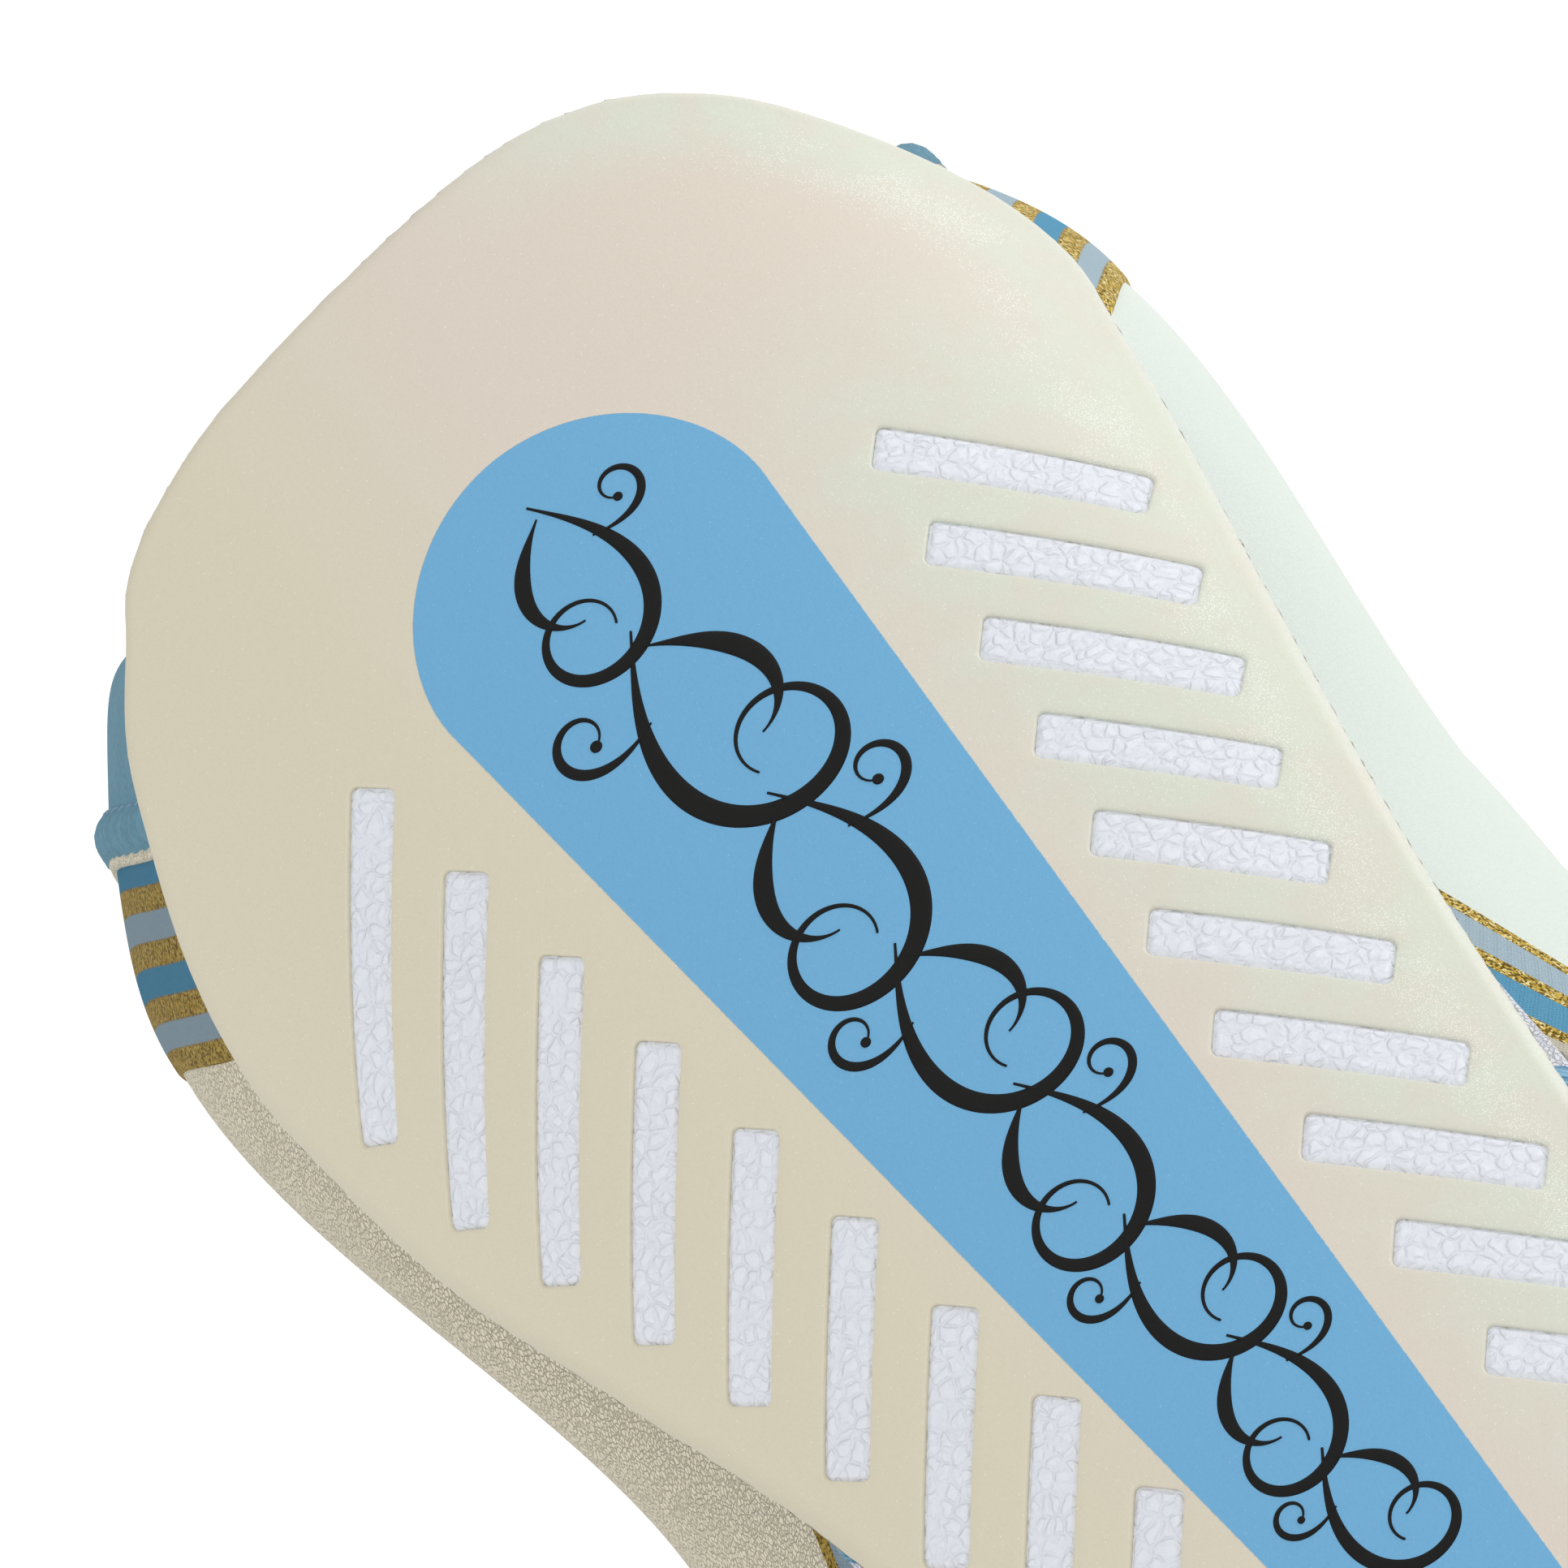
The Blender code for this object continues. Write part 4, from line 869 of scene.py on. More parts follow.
# Eyestays: strips of white leather that stiffen both edges of the throat, each
# held down by two rows of stitches.
white_hide = leather("white_leather", "white_leather", "ECEDF2", "E2E4EC", "CDD1DD", 0.00008)
stay_top, stay_thick, stay_width, stay_low, stay_rise = -0.0016, 0.0009, 0.0075, 0.565, 0.28
stay_f, stay_g, stay_drop = lattice(12, stay_width, 70, 0.06, 0.0004)
stay_y = throat_half + 0.0004 + stay_width * stay_f
stay_v = stay_low + stay_rise * stay_g
row_v = np.linspace(0.572, 0.838, 80)
stay_rows = []
for side, name in both_sides:
    stay = panel(theta_at(side * stay_y, stay_v), stay_v, stay_top, stay_thick, stay_drop)
    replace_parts(piece(f"{name}_eyestay_leather", stay, white_hide), f"{name}_eyestay")
    for y in (0.0164, 0.0218):
        stay_rows.append(row_on_skin(theta_at(side * y, row_v), row_v, stay_top, pitch=0.0024, length=0.0018))
piece("eyestay_stitching", gather(stay_rows), thread)

# Lace loops: flat blue webbing folded into arches, with both feet sewn to the
# eyestays, four on each side.
webbing = Finish("blue_webbing", "blue_fabric", {"Sheen Weight": 0.2})
wx, wy, wz = webbing.axes(webbing.place)
warp = (wx * 9000).of("SINE") * (wy * 7000 + wz * 5000).of("SINE")
webbing.paint(webbing.mix(warp.step(-0.6, 0.7), "4E8FB5", "86C0E0")).rough(0.6 + 0.1 * warp)
webbing.emboss(warp, 0.00015)
lace_radius = 0.0010
lace_reach = 0.0188
web_width = 0.0022
lace_x = float(surface(np.array(0.0), np.array(0.645))[0])
lace_step = (lace_x - float(surface(np.array(0.0), np.array(0.80))[0])) / 3


def over_throat(x, y, lift):
    """A point at a lift over the upper's face at the plan place (x, y), by Newton's steps on theta and v."""
    x, y, lift = np.broadcast_arrays(np.asarray(x, float), np.asarray(y, float), np.asarray(lift, float))
    theta, v, step = y / 0.05, np.full(x.shape, 0.65), 1e-4
    for _ in range(30):
        here = surface(theta, v)
        turned = (surface(theta + step, v) - here) / step
        raised = (surface(theta, v + step) - here) / step
        miss_x, miss_y = x - here[..., 0], y - here[..., 1]
        area = turned[..., 0] * raised[..., 1] - raised[..., 0] * turned[..., 1]
        theta = theta + np.clip((miss_x * raised[..., 1] - raised[..., 0] * miss_y) / area, -0.2, 0.2)
        climb = np.clip((turned[..., 0] * miss_y - miss_x * turned[..., 1]) / area, -0.06, 0.06)
        v = np.clip(v + climb, 0.2, 0.998)
    return skin(theta, v, -lift)


def lace_loop(side, x):
    """An arch of webbing with feet on the eyestay, open along the throat."""
    y = side * lace_reach
    foot = over_throat(x, y, 0.0019)
    out = unit(foot - over_throat(x, y, 0.0))
    across = unit(np.cross(out, over_throat(x + 0.002, y, 0.0) - over_throat(x - 0.002, y, 0.0)))
    along = np.cross(across, out)
    turn = np.linspace(0, np.pi, 41)
    f = stations(6, web_width, 0.0002)
    grids = []
    for height, half in ((0.0036, 0.0037), (0.0029, 0.0030)):
        wide = half * np.sign(np.cos(turn)) * np.abs(np.cos(turn)) ** 0.7
        tall = height * np.sin(turn) ** 0.7 - 0.0004
        arch = foot + wide[:, None] * across + tall[:, None] * out
        grids.append(arch[:, None] + (f - 0.5)[None, :, None] * web_width * along)
    return wall(*grids)


for side, name in both_sides:
    arches = gather([lace_loop(side, lace_x - row * lace_step) for row in range(4)])
    webs = piece(f"{name}_webbing_loops", arches, webbing)
    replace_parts(webs, *[f"{name}_lace_loop_{row + 1}" for row in range(4)])

# Lace: a round braided cord, crossed through the four pairs of loops and
# knotted; its short ends carry gilt aglets and lie over the eyestays.
braid = Finish("lace_braid", "white_fabric", {"Sheen Weight": 0.15})
ru, rv, _ = braid.axes(braid.pattern)
plait = (ru * 6000 + rv * 12.566).of("SINE") * (ru * 6000 - rv * 12.566).of("SINE")
braid.paint(braid.mix(plait.step(-0.8, 0.5), "B9BDC6", "F0F1F4")).rough(0.62 + 0.1 * plait)
braid.emboss(plait, 0.00018)
lace_low = 0.0035
lace_under = 0.0027
lace_over = 0.0051


def lace_swing(angle):
    """Half width of the lace's zigzag: a cosine, squared off by tanh."""
    return lace_reach * np.tanh(1.8 * np.cos(angle)) / math.tanh(1.8)


def strand(u, side, middle):
    """One crossing half of the lace; u counts the rows, and the lift peaks at each crossing."""
    y = side * lace_swing(np.pi * u)
    lift = lace_low + (middle - lace_low) * np.sin(np.pi * u) ** 6
    return over_throat(lace_x - lace_step * u, y, lift)


def braided(path, radius, sides=14):
    """A bar along a path with its pattern: length along it, and the turn round it."""
    run = run_along(path)
    uv = np.stack(np.broadcast_arrays(run[:, None], np.arange(sides)[None, :] / sides), -1)
    return rod(path, radius, sides), uv


def blunt(count, steps):
    """A radius factor along a bar: round at both ends, within a number of steps."""
    from_end = np.minimum(np.arange(count), np.arange(count)[::-1])
    return np.sqrt(np.clip(from_end / steps, 0, 1))


row_u = np.linspace(3.454, 0, 150)
bend = np.linspace(0, np.pi, 40)[1:-1]
bend_lift = lace_low + (lace_under - lace_low) * np.sin(bend)
bend_line = over_throat(lace_x + 0.5 * lace_step * np.sin(bend), -lace_swing(bend), bend_lift)
lace_path = np.concatenate([strand(row_u, -1, lace_over), bend_line, strand(row_u[::-1], 1, lace_under)])
lace_solid, lace_uv = braided(lace_path, lace_radius * blunt(len(lace_path), 2))
lace = piece("lace_braided", lace_solid, braid, uv=lace_uv, weld=True)
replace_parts(lace, "lace")

knot_x = lace_x - 3.5 * lace_step
knot_lift = 0.0045
knot_turns, knot_half, knot_radius, knot_count = 3.2, 0.0034, 0.0018, 150
heart_half, heart_radius, heart_count = 0.0040, 0.0016, 20
knot_turn = np.linspace(0, knot_turns * 2 * np.pi, knot_count)
knot_core = over_throat(knot_x, np.linspace(-knot_half, knot_half, knot_count), knot_lift)
knot_path = knot_core + knot_radius * np.stack([np.cos(knot_turn), 0 * knot_turn, np.sin(knot_turn)], -1)
knot_solid, knot_uv = braided(knot_path, lace_radius * blunt(knot_count, 3))
heart_lie = np.linspace(-1, 1, heart_count)
heart_path = over_throat(knot_x, heart_half * heart_lie, knot_lift)
heart_solid, heart_uv = braided(heart_path, heart_radius * np.sqrt(1 - heart_lie**2))
knot_uv = np.concatenate([knot_uv.reshape(-1, 2), heart_uv.reshape(-1, 2)])
knot = piece("lace_knot_tied", gather([knot_solid, heart_solid]), braid, uv=knot_uv, weld=True)
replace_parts(knot, "lace_knot")

end_count, tail_count, tag_overlap = 60, 40, 4
tag_radius, tail_lift = 0.0011, 0.0031
for side, name in both_sides:
    q = np.linspace(0, 1, end_count)
    end_lift = knot_lift + (tail_lift - knot_lift) * ease(q)
    end_x = knot_x - 0.0036 - 0.0026 * np.sin(np.pi * q / 2)
    end_path = over_throat(end_x, side * (0.0022 + 0.0186 * q), end_lift)
    tail_size = lace_radius * np.sqrt(np.clip((tail_count - np.arange(tail_count)) / 2, 0, 1))
    end_solid, end_uv = braided(end_path[:tail_count], tail_size)
    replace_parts(piece(f"{name}_lace_tail", end_solid, braid, uv=end_uv, weld=True), f"{name}_lace_end")
    tag_path = end_path[tail_count - tag_overlap :]
    tag = rod(tag_path, tag_radius * blunt(len(tag_path), 1.5), 16)
    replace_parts(piece(f"{name}_aglet_gilt", tag, gilt, weld=True), f"{name}_aglet")

# Cover: a fold-over cover for the lace, hinged at its toe end. Its face is a
# straight spine with a rounded section: tip is the free end, way runs to the hinge.
tip = np.array([-0.0186, 0.0, 0.1356])
hinge = np.array([0.09682426, 0.0, 0.07052368])
cover_length = float(np.linalg.norm(hinge - tip))
way = (hinge - tip) / cover_length
face = np.array([-way[2], 0.0, way[0]])
cover_round = 0.03399
cover_crown = 0.014


def cover(s, t, lift=0.0):
    """A point of the cover: s from the free end, t across, lift along the face's own normal.

    The section falls by cover_crown (0.64 q^2 + 0.36 q^6), with q = t / cover_round.
    """
    s, t, lift = np.broadcast_arrays(s, t, lift)
    q = t / cover_round
    slope = -cover_crown * (1.28 * q + 2.16 * q**5) / cover_round
    tilt = 1 / np.sqrt(1 + slope**2)
    rise = -cover_crown * (0.64 * q**2 + 0.36 * q**6) + lift * tilt
    across = t - lift * slope * tilt
    return tip + s[..., None] * way + across[..., None] * np.array([0.0, 1.0, 0.0]) + rise[..., None] * face


# Outline of the cover in millimetres: half widths at lengths along it on each
# side, and how far the free end stands past the tip at places across it.
edge_left = ([0.04, 1.04, 4.3, 7.5, 13.2, 20, 27.2, 35.8, 47.4, 63, 79.1, 95, 112, 132.6],
             [17.22, 19.36, 22.7, 25.8, 29.0, 31.9, 33.3, 33.0, 31.7, 28.0, 24.0, 21.7, 20.2, 19.0])
edge_right = ([-2.18, -1.16, 0.08, 1.45, 3.06, 4.93, 7, 10.9, 15,
               20.4, 26.3, 32.8, 50.6, 70.6, 88, 110, 132.6],
              [18.62, 20.61, 22.42, 24.11, 25.61, 26.93, 28.3, 30.5, 32.2,
               33.1, 32.4, 31.5, 28.4, 25.0, 22.9, 20.6, 19.0])
free_end = ([-17.22, -12.14, -6.15, 0, 6, 11, 15, 18.62],
            [0.04, -1.2, -1.85, -2.35, -2.95, -3.32, -3.08, -2.18])

# Cover film: a pearl film over the leather, its edge rolled down, with a row of
# slanted bar windows cut out on each side of a blue printed spine.
slant = 1.15
stretch = math.hypot(1, slant)
window_half = 0.0015
corner_radius = 0.0005
window_count = 11
window_number = np.arange(window_count)
sides = {-1: (0.0055, 0.0099, edge_left), 1: (0.0095, 0.0088, edge_right)}
window_inner = {-1: 0.0166 - 0.00108 * window_number, 1: np.maximum(0.0100, 0.0169 - 0.0012 * window_number)}
window_outer = {-1: np.array([29.1, 28.4, 27.1, 25.7, 23.4, 21.3, 19.8, 18.9, 18.3, 17.8, 17.3]) * 1e-3,
                1: np.array([27.3, 26.0, 24.0, 22.2, 20.8, 19.9, 19.3, 18.8, 18.3, 17.8, 17.3]) * 1e-3}
end_slope = 0.83 * slant
end_saw = 0.00175
bar_reach = 0.00267
rim_margin = 0.0024
film_thick = 0.0005
rim_reach = 0.008
lip = 0.00018
roll = 0.0011
half_bar = np.array([0.5, 1.0, 1.17, 1.33, 1.5, 1.53, 1.59, 1.68])
bar_offsets = np.concatenate([-half_bar[::-1], [0], half_bar]) * 1e-3
end_offsets = np.array([-0.18, -0.09, -0.03, 0, 0.17, 0.33, 0.5]) * 1e-3
edge_offsets = np.array([1.1, 0.85, 0.62, 0.42, 0.25, 0.12, 0.04, 0]) * 1e-3
lead_rows, gap_rows, tail_rows = 40, 5, 16
spine_columns, bar_columns, margin_columns = 16, 12, 5


def film_rows(side):
    """Row places u along the spine, with lines on both edges of every window."""
    first, pitch = sides[side][:2]
    on_bar = (first + pitch * window_number)[:, None] + stretch * bar_offsets[None, :]
    gap = np.linspace(0, 1, gap_rows + 2)[None, 1:-1]
    between = on_bar[:-1, -1:] + gap * (on_bar[1:, :1] - on_bar[:-1, -1:])
    body = np.concatenate([np.hstack([on_bar[:-1], between]).ravel(), on_bar[-1]])
    lead = body[0] * np.linspace(0, 1, lead_rows + 1)[:-1] ** 1.4
    tail = body[-1] + (cover_length - 0.0004 - body[-1]) * np.linspace(0, 1, tail_rows + 1)[1:]
    return np.concatenate([lead, body, tail])


rows_of = {side: film_rows(side) for side in sides}
row_mid = (rows_of[-1] + rows_of[1]) / 2


def round_corners(from_start, from_stop, off):
    """Moves along and across a bar that draw its corners in to a round, fading outside the bar."""
    q = np.abs(off) - (window_half - corner_radius)
    along, across = 0.0, 0.0
    for p, toward in ((corner_radius - from_start, -1), (corner_radius + from_stop, 1)):
        m = np.maximum(p, q)
        pull = (m / np.maximum(np.hypot(p, q), 1e-9) - 1) * np.clip(1.5 - m / (2 * corner_radius), 0, 1)
        pull = np.where((p > 0) & (q > 0), pull, 0)
        along, across = along + toward * p * pull, across + np.sign(off) * q * pull
    return along, across


def film_half(side):
    """One side of the film as places (s, t) on a slanted grid that has lines on all window edges.

    s = u + slant k t, with k rising from 0 at the free end to 1 over the windows and
    back to 0 at the hinge; window corners are drawn in to a round.
    """
    first, pitch, edge = sides[side]
    u = rows_of[side]
    centres = first + pitch * window_number
    k = np.interp(u, [0, centres[0] - bar_reach, centres[-1] + bar_reach, cover_length], [0, 1, 1, 0])
    lag = (1 - k) ** 2

    def along(t):
        """Lengths s of the rows at the places t across."""
        return u + slant * k * t + lag * through(side * t * 1e3, *free_end) * 1e-3

    low, high = np.zeros(len(u)), np.full(len(u), 0.04)
    for _ in range(40):
        mid = (low + high) / 2
        inside = mid < through(along(mid) * 1e3, *edge) * 1e-3
        low, high = np.where(inside, mid, low), np.where(inside, high, mid)
    rim = (low + high) / 2
    knots = (centres[:, None] + bar_reach * np.array([-1, 1])[None, :]).ravel()
    inner = np.minimum(np.interp(u, knots, np.repeat(window_inner[side], 2)), 0.6 * rim)
    near_bar = [np.interp(centres + off, u, rim) for off in (-bar_reach, 0, bar_reach)]
    bar_end = np.minimum(window_outer[side], np.min(near_bar, axis=0) - rim_margin)
    outer = np.minimum(np.interp(u, knots, np.repeat(bar_end, 2)), rim - rim_margin)
    knots = np.concatenate([[centres[0] - 0.0047], knots, [centres[-1] + 0.006]])
    teeth = np.concatenate([[0], np.tile([end_saw, -end_saw], window_count), [0]])
    cut = end_slope * np.interp(u, knots, teeth)[:, None]
    start = inner[:, None] + (end_offsets[None, :] + cut) / stretch
    stop = outer[:, None] + (-end_offsets[None, ::-1] + cut) / stretch

    def between(first_column, last_column, count):
        """Columns evenly between two columns."""
        share = np.linspace(0, 1, count + 2)[None, 1:-1]
        return first_column[:, None] + share * (last_column - first_column)[:, None]

    edge_in = rim[:, None] - edge_offsets[None, :]
    spine = np.zeros((len(u), 1))
    t = np.hstack([spine, between(spine[:, 0], start[:, 0], spine_columns), start,
                   between(start[:, -1], stop[:, 0], bar_columns), stop,
                   between(stop[:, -1], edge_in[:, 0], margin_columns), edge_in])
    own = u[:, None] + (row_mid - u)[:, None] * (1 - ease(t / 0.006))
    s = own + slant * k[:, None] * t + lag[:, None] * through(side * t * 1e3, *free_end) * 1e-3
    near = np.clip(np.round((u - first) / pitch), 0, window_count - 1).astype(int)
    off = -(u - centres[near])[:, None] / stretch
    from_start = stretch * (t - inner[:, None]) - cut
    from_stop = stretch * (t - outer[:, None]) - cut
    da, db = round_corners(from_start, from_stop, off)
    shift = (da + end_slope * db) / stretch
    beyond = np.maximum(np.maximum(np.abs(off) - window_half, -from_start), from_stop)
    dip = lip * quarter_round(np.clip(1 - beyond / lip, 0, 1))
    bars = (centres, window_inner[side], bar_end)
    return s + slant * shift - stretch * db, side * (t + shift), dip, bars


*left, left_bars = film_half(-1)
*right, right_bars = film_half(1)
film_s, film_t, film_dip = (np.hstack([a[:, ::-1], b[:, 1:]]) for a, b in zip(left, right))
rows, columns = film_s.shape
rim_st = np.stack([film_s, film_t], -1)
rim_st = np.concatenate([rim_st[::-1, 0], rim_st[0, 1:], rim_st[1:, -1]])
rim_run = run_along(rim_st)
dense = np.linspace(0, rim_run[-1], 1600)
rim_s, rim_t = (np.interp(dense, rim_run, line) for line in rim_st.T)


def to_rim(s, t):
    """Distance of each place from the cover's outline, capped at rim_reach."""
    close = (np.abs(t) > 0.0115) | (s < rim_reach)
    gap = np.full(s.shape, rim_reach)
    reach = np.hypot(s[close][:, None] - rim_s[None, :], t[close][:, None] - rim_t[None, :])
    gap[close] = np.minimum(reach.min(1), rim_reach)
    return gap


film_rim = to_rim(film_s, film_t)
bow = np.clip(1 - film_rim / roll, 0, 1)
film_fall = roll * quarter_round(bow)
film_top = cover(film_s, film_t, -film_dip - film_fall)
under_t = film_t - np.sign(film_t) * film_thick * bow * np.clip(np.abs(film_t) / 0.012, 0, 1)
under_s = film_s + film_thick * bow * np.clip(1 - film_s / rim_reach, 0, 1)
film_under = cover(under_s, under_t, -film_thick - film_fall * 0.85)
deep = rows * columns
at = np.arange(deep).reshape(rows, columns)
hole = np.zeros((rows - 1, columns - 1), bool)
rims = [rim_cells(border(at), deep)]
window_rows = np.flatnonzero(np.isclose(np.abs(bar_offsets), window_half))
end_edge = int(np.flatnonzero(end_offsets == 0)[0])
window_start = 1 + spine_columns + end_edge
window_stop = window_start + len(end_offsets) + bar_columns
for bar in range(window_count):
    top_row, low_row = lead_rows + (len(bar_offsets) + gap_rows) * bar + window_rows
    for first_column, last_column in ((-window_stop, -window_start), (window_start, window_stop)):
        first_column, last_column = columns // 2 + first_column, columns // 2 + last_column
        hole[top_row:low_row, first_column:last_column] = True
        window = at[top_row : low_row + 1, first_column : last_column + 1]
        rims.append(rim_cells(border(window)[::-1], deep))
film_face = quads(rows, columns)[~hole.ravel()]
film_cells = np.concatenate([film_face, film_face[:, ::-1] + deep] + rims)
film_points = np.concatenate([film_top.reshape(-1, 3), film_under.reshape(-1, 3)])

# The printed spine: where its round head is widest, the square of the head's
# radius, and how fast the spine narrows from there to the hinge.
head_at, head_square, spine_taper = 0.026, 0.000132, 0.066
pearl = Finish("pearl_film", "cream_film", {"Coat Weight": 0.10, "Coat Roughness": 0.3})
from_tip = pearl.add("VectorMath", {"operation": "SUBTRACT"}, {0: pearl.place, 1: tuple(tip - origin)})
film_along = pearl.add("VectorMath", {"operation": "DOT_PRODUCT"}, {0: from_tip, 1: tuple(way)}, "Value")
film_across = pearl.axes(from_tip)[1]
rim_gap = pearl.axes(pearl.pattern)[0]
inner_side = film_across.step(0.004, 0.020)
cloud = pearl.noise(42, 2)
shimmer = pearl.noise(230, 3, 0.6)
dust = pearl.noise(5200, 3, 0.7)
beige = pearl.mix((film_across + 0.012 * (cloud - 0.5)).step(-0.014, 0.004), "DDD6BE", "E0D6C8")
# Partly the film's own pearl tint, partly painted sheen: pale green clouds laid on the inner side and along
# its rim.
lean = (film_across + 0.010 * (cloud - 0.5)).step(0.004, 0.018) * film_along.step(0.012, 0.034)
lean = lean.of("MAXIMUM", inner_side * (1 - rim_gap.step(0.002, 0.0075)))
cream = pearl.mix(lean * (0.55 + 0.45 * shimmer.step(0.38, 0.6)), beige, "DBE0D0")
cream = pearl.mix(0.12 * dust.step(0.45, 0.7), cream, "C4BCA6")
outline = 1 - rim_gap.step(0.0, 0.0015)
# Painted shade: the outer side's rolled rim is darkened.
cream = pearl.mix(outline * (1 - inner_side) * 0.5, cream, "C6BFA8")
# Painted highlight: a pale line along the inner side's rim, broken up by the dust noise.
painted_rim_highlight = (1 - rim_gap.step(0.0003, 0.0011)) * inner_side * dust.step(0.4, 0.6)
cream = pearl.mix(painted_rim_highlight * 0.55, cream, "F1EFE9")
# Painted glints: pale flecks, a few everywhere, crowded where the sheen is painted and in a band inside the
# inner side's rim; they are also less rough.
fleck = pearl.cells(11000)
lot = pearl.axes(pearl.cells(11000, "F1", None, "Color"))[0]
bright = rim_gap.step(0.0016, 0.0032) * (1 - rim_gap.step(0.0040, 0.0070)) * inner_side
bright = bright * film_along.step(0.002, 0.012) * pearl.noise(170, 2).step(0.40, 0.58)
share = 0.0012 + 0.06 * lean * rim_gap.step(0.002, 0.005) * shimmer.step(0.40, 0.6) + 0.7 * bright
glint = (lot + share).step(0.985, 1.0) * (1 - fleck.step(0.22, 0.45))
cream = pearl.mix(glint, cream, "FCFBF3")
past_head = film_along - head_at
ahead = past_head.of("MINIMUM", 0.0)
spine_half = (head_square - ahead * ahead).of("MAXIMUM", 0.0).of("SQRT")
spine_half = spine_half - spine_taper * past_head.of("MAXIMUM", 0.0)
spine_edge = spine_half - 0.00015 - film_across.of("ABSOLUTE") + 0.00008 * (dust - 0.5)
printed = spine_edge.step(-0.00004, 0.00004)
blue = pearl.mix(0.4 * dust.step(0.4, 0.75), "6DAFD9", "62A4CF")
# The painted glints show on the blue print too.
blue = pearl.mix(glint * 0.6, blue, "B9DCEF")
pearl.paint(pearl.mix(printed, cream, blue))
pearl.rough(0.47 + 0.1 * dust - 0.2 * glint)
pearl.emboss(pearl.noise(650, 2) * outline, 0.00018)
pearl.emboss(dust, 0.000025)
pearl.emboss(printed, 0.00003)
film_uv = np.stack([film_rim, np.abs(film_t)], -1)
film = piece("cover_film", (film_points, film_cells), pearl, "flap", uv=film_uv)
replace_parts(film, "flap_film")

# Cover print: a running scroll of volutes, leaves and tendrils in raised black
# ink down the blue spine, an ornament of ironwork, alternately turned.
ink = Finish("black_ink", "dark_fabric", {"Specular IOR Level": 0.2})
speckle = ink.noise(7000, 3, 0.7)
ink.paint(ink.mix(speckle.step(0.62, 0.80), "060605", "1A1A17")).rough(0.6 + 0.2 * speckle)
ink.emboss(speckle, 0.00003)
ink_thick = 0.00012
ink_lift = 0.00007
scroll_first, scroll_last = 0.0185, 0.104


def curl(start, heading, length, bend_first, bend_last, count):
    """A line in (s, t) whose turning grows evenly from its first to its last bend, in turns."""
    q = np.linspace(0, 1, count)
    angle = heading + 2 * np.pi * (bend_first * q + (bend_last - bend_first) * q**2 / 2)
    step = np.stack([np.cos(angle), np.sin(angle)], -1) * length / (count - 1)
    walk = np.concatenate([np.zeros((1, 2)), (step[1:] + step[:-1]) / 2]).cumsum(0)
    return np.array(start) + walk


def inked(places, lift, ring=False):
    """A thin layer of ink on places (s, t) of the cover, its face at a lift."""
    s, t = places[..., 0], places[..., 1]
    return wall(cover(s, t, lift), cover(s, t, lift - ink_thick), ring)


def stroke(line, thin, thick, fullest, ball, lift):
    """A pen stroke along a line, swelling from thin to thick and back, ended by a ball."""
    q = np.linspace(0, 1, len(line))
    swell = np.where(q < fullest, q / fullest, (1 - q) / (1 - fullest))
    width = thin + (thick - thin) * np.sin(0.5 * np.pi * swell) ** 1.6
    along = unit(np.gradient(line, axis=0))
    off = np.stack([-along[:, 1], along[:, 0]], -1)
    share = np.array([-0.5, -0.3, 0.0, 0.3, 0.5])
    grid = line[:, None] + off[:, None] * width[:, None, None] * share[None, :, None]
    arch = lift - 0.00006 * np.array([1.0, 0.25, 0.0, 0.25, 1.0])[None, :]
    turn = 2 * np.pi * np.arange(20)[:, None] / 20
    ray = ball * np.array([0.05, 0.6, 0.9, 1.0])[None, :]
    disc = line[-1] + np.stack([ray * np.cos(turn), ray * np.sin(turn)], -1)
    level = lift + 0.00001 - 0.00005 * np.array([0, 0, 0.3, 1.0])[None, :]
    return [inked(grid, arch), inked(disc, level, True)]


ornament = []
place, turned = scroll_first, 1
while place < scroll_last:
    past = place - head_at
    scale = 1.18 * (math.sqrt(head_square - min(past, 0) ** 2) - spine_taper * max(past, 0))
    lift = ink_lift + 0.00001 * (len(ornament) % 3)
    volute = curl((place, 0.0), turned * 0.55, 2.75 * scale, turned * 0.02, -turned * 2.35, 120)
    leaf = curl((place + 0.1 * scale, 0.0), -turned * 0.95, 0.95 * scale, 0.0, turned * 0.75, 60)
    shoot = (place + 0.42 * scale, turned * 0.18 * scale)
    tendril = curl(shoot, turned * 1.25, 0.95 * scale, turned * 0.1, turned * 1.9, 60)
    ornament += stroke(volute, 0.00016, 0.105 * scale, 0.35, 0.00006, lift)
    ornament += stroke(leaf, 0.00012, 0.10 * scale, 0.45, 0.00005, lift + 0.000012)
    ornament += stroke(tendril, 0.00012, 0.05 * scale, 0.4, 0.028 * scale, lift + 0.000006)
    place += 1.07 * scale
    turned = -turned
piece("cover_print", gather(ornament), ink, "flap")

# Cover leather: white drum-softened leather under the film; it swells up into
# every window, almost level with the film.
pebbled = Finish("pebbled_white_leather", "white_leather", {"Coat Weight": 0.06, "Coat Roughness": 0.4})
tumbled = pebbled.bent(700, 0.0011)
lump = pebbled.cells(1050, "SMOOTH_F1", tumbled)
crease = pebbled.cells(1050, "DISTANCE_TO_EDGE", tumbled).step(0.0, 0.22)
grain = pebbled.noise(3000, 3, 0.55)
white = pebbled.mix(pebbled.noise(220, 2), "E6EAF1", "EDEFF6")
# Darker cell edges: partly grain tone, partly painted shade in the creases.
pebbled.paint(pebbled.mix((1 - crease) * 0.14, white, "CBD2DF"))
pebbled.rough(0.54 + 0.1 * grain)
pebbled.emboss(crease * 0.4 - lump + grain * 0.3, 0.00018)


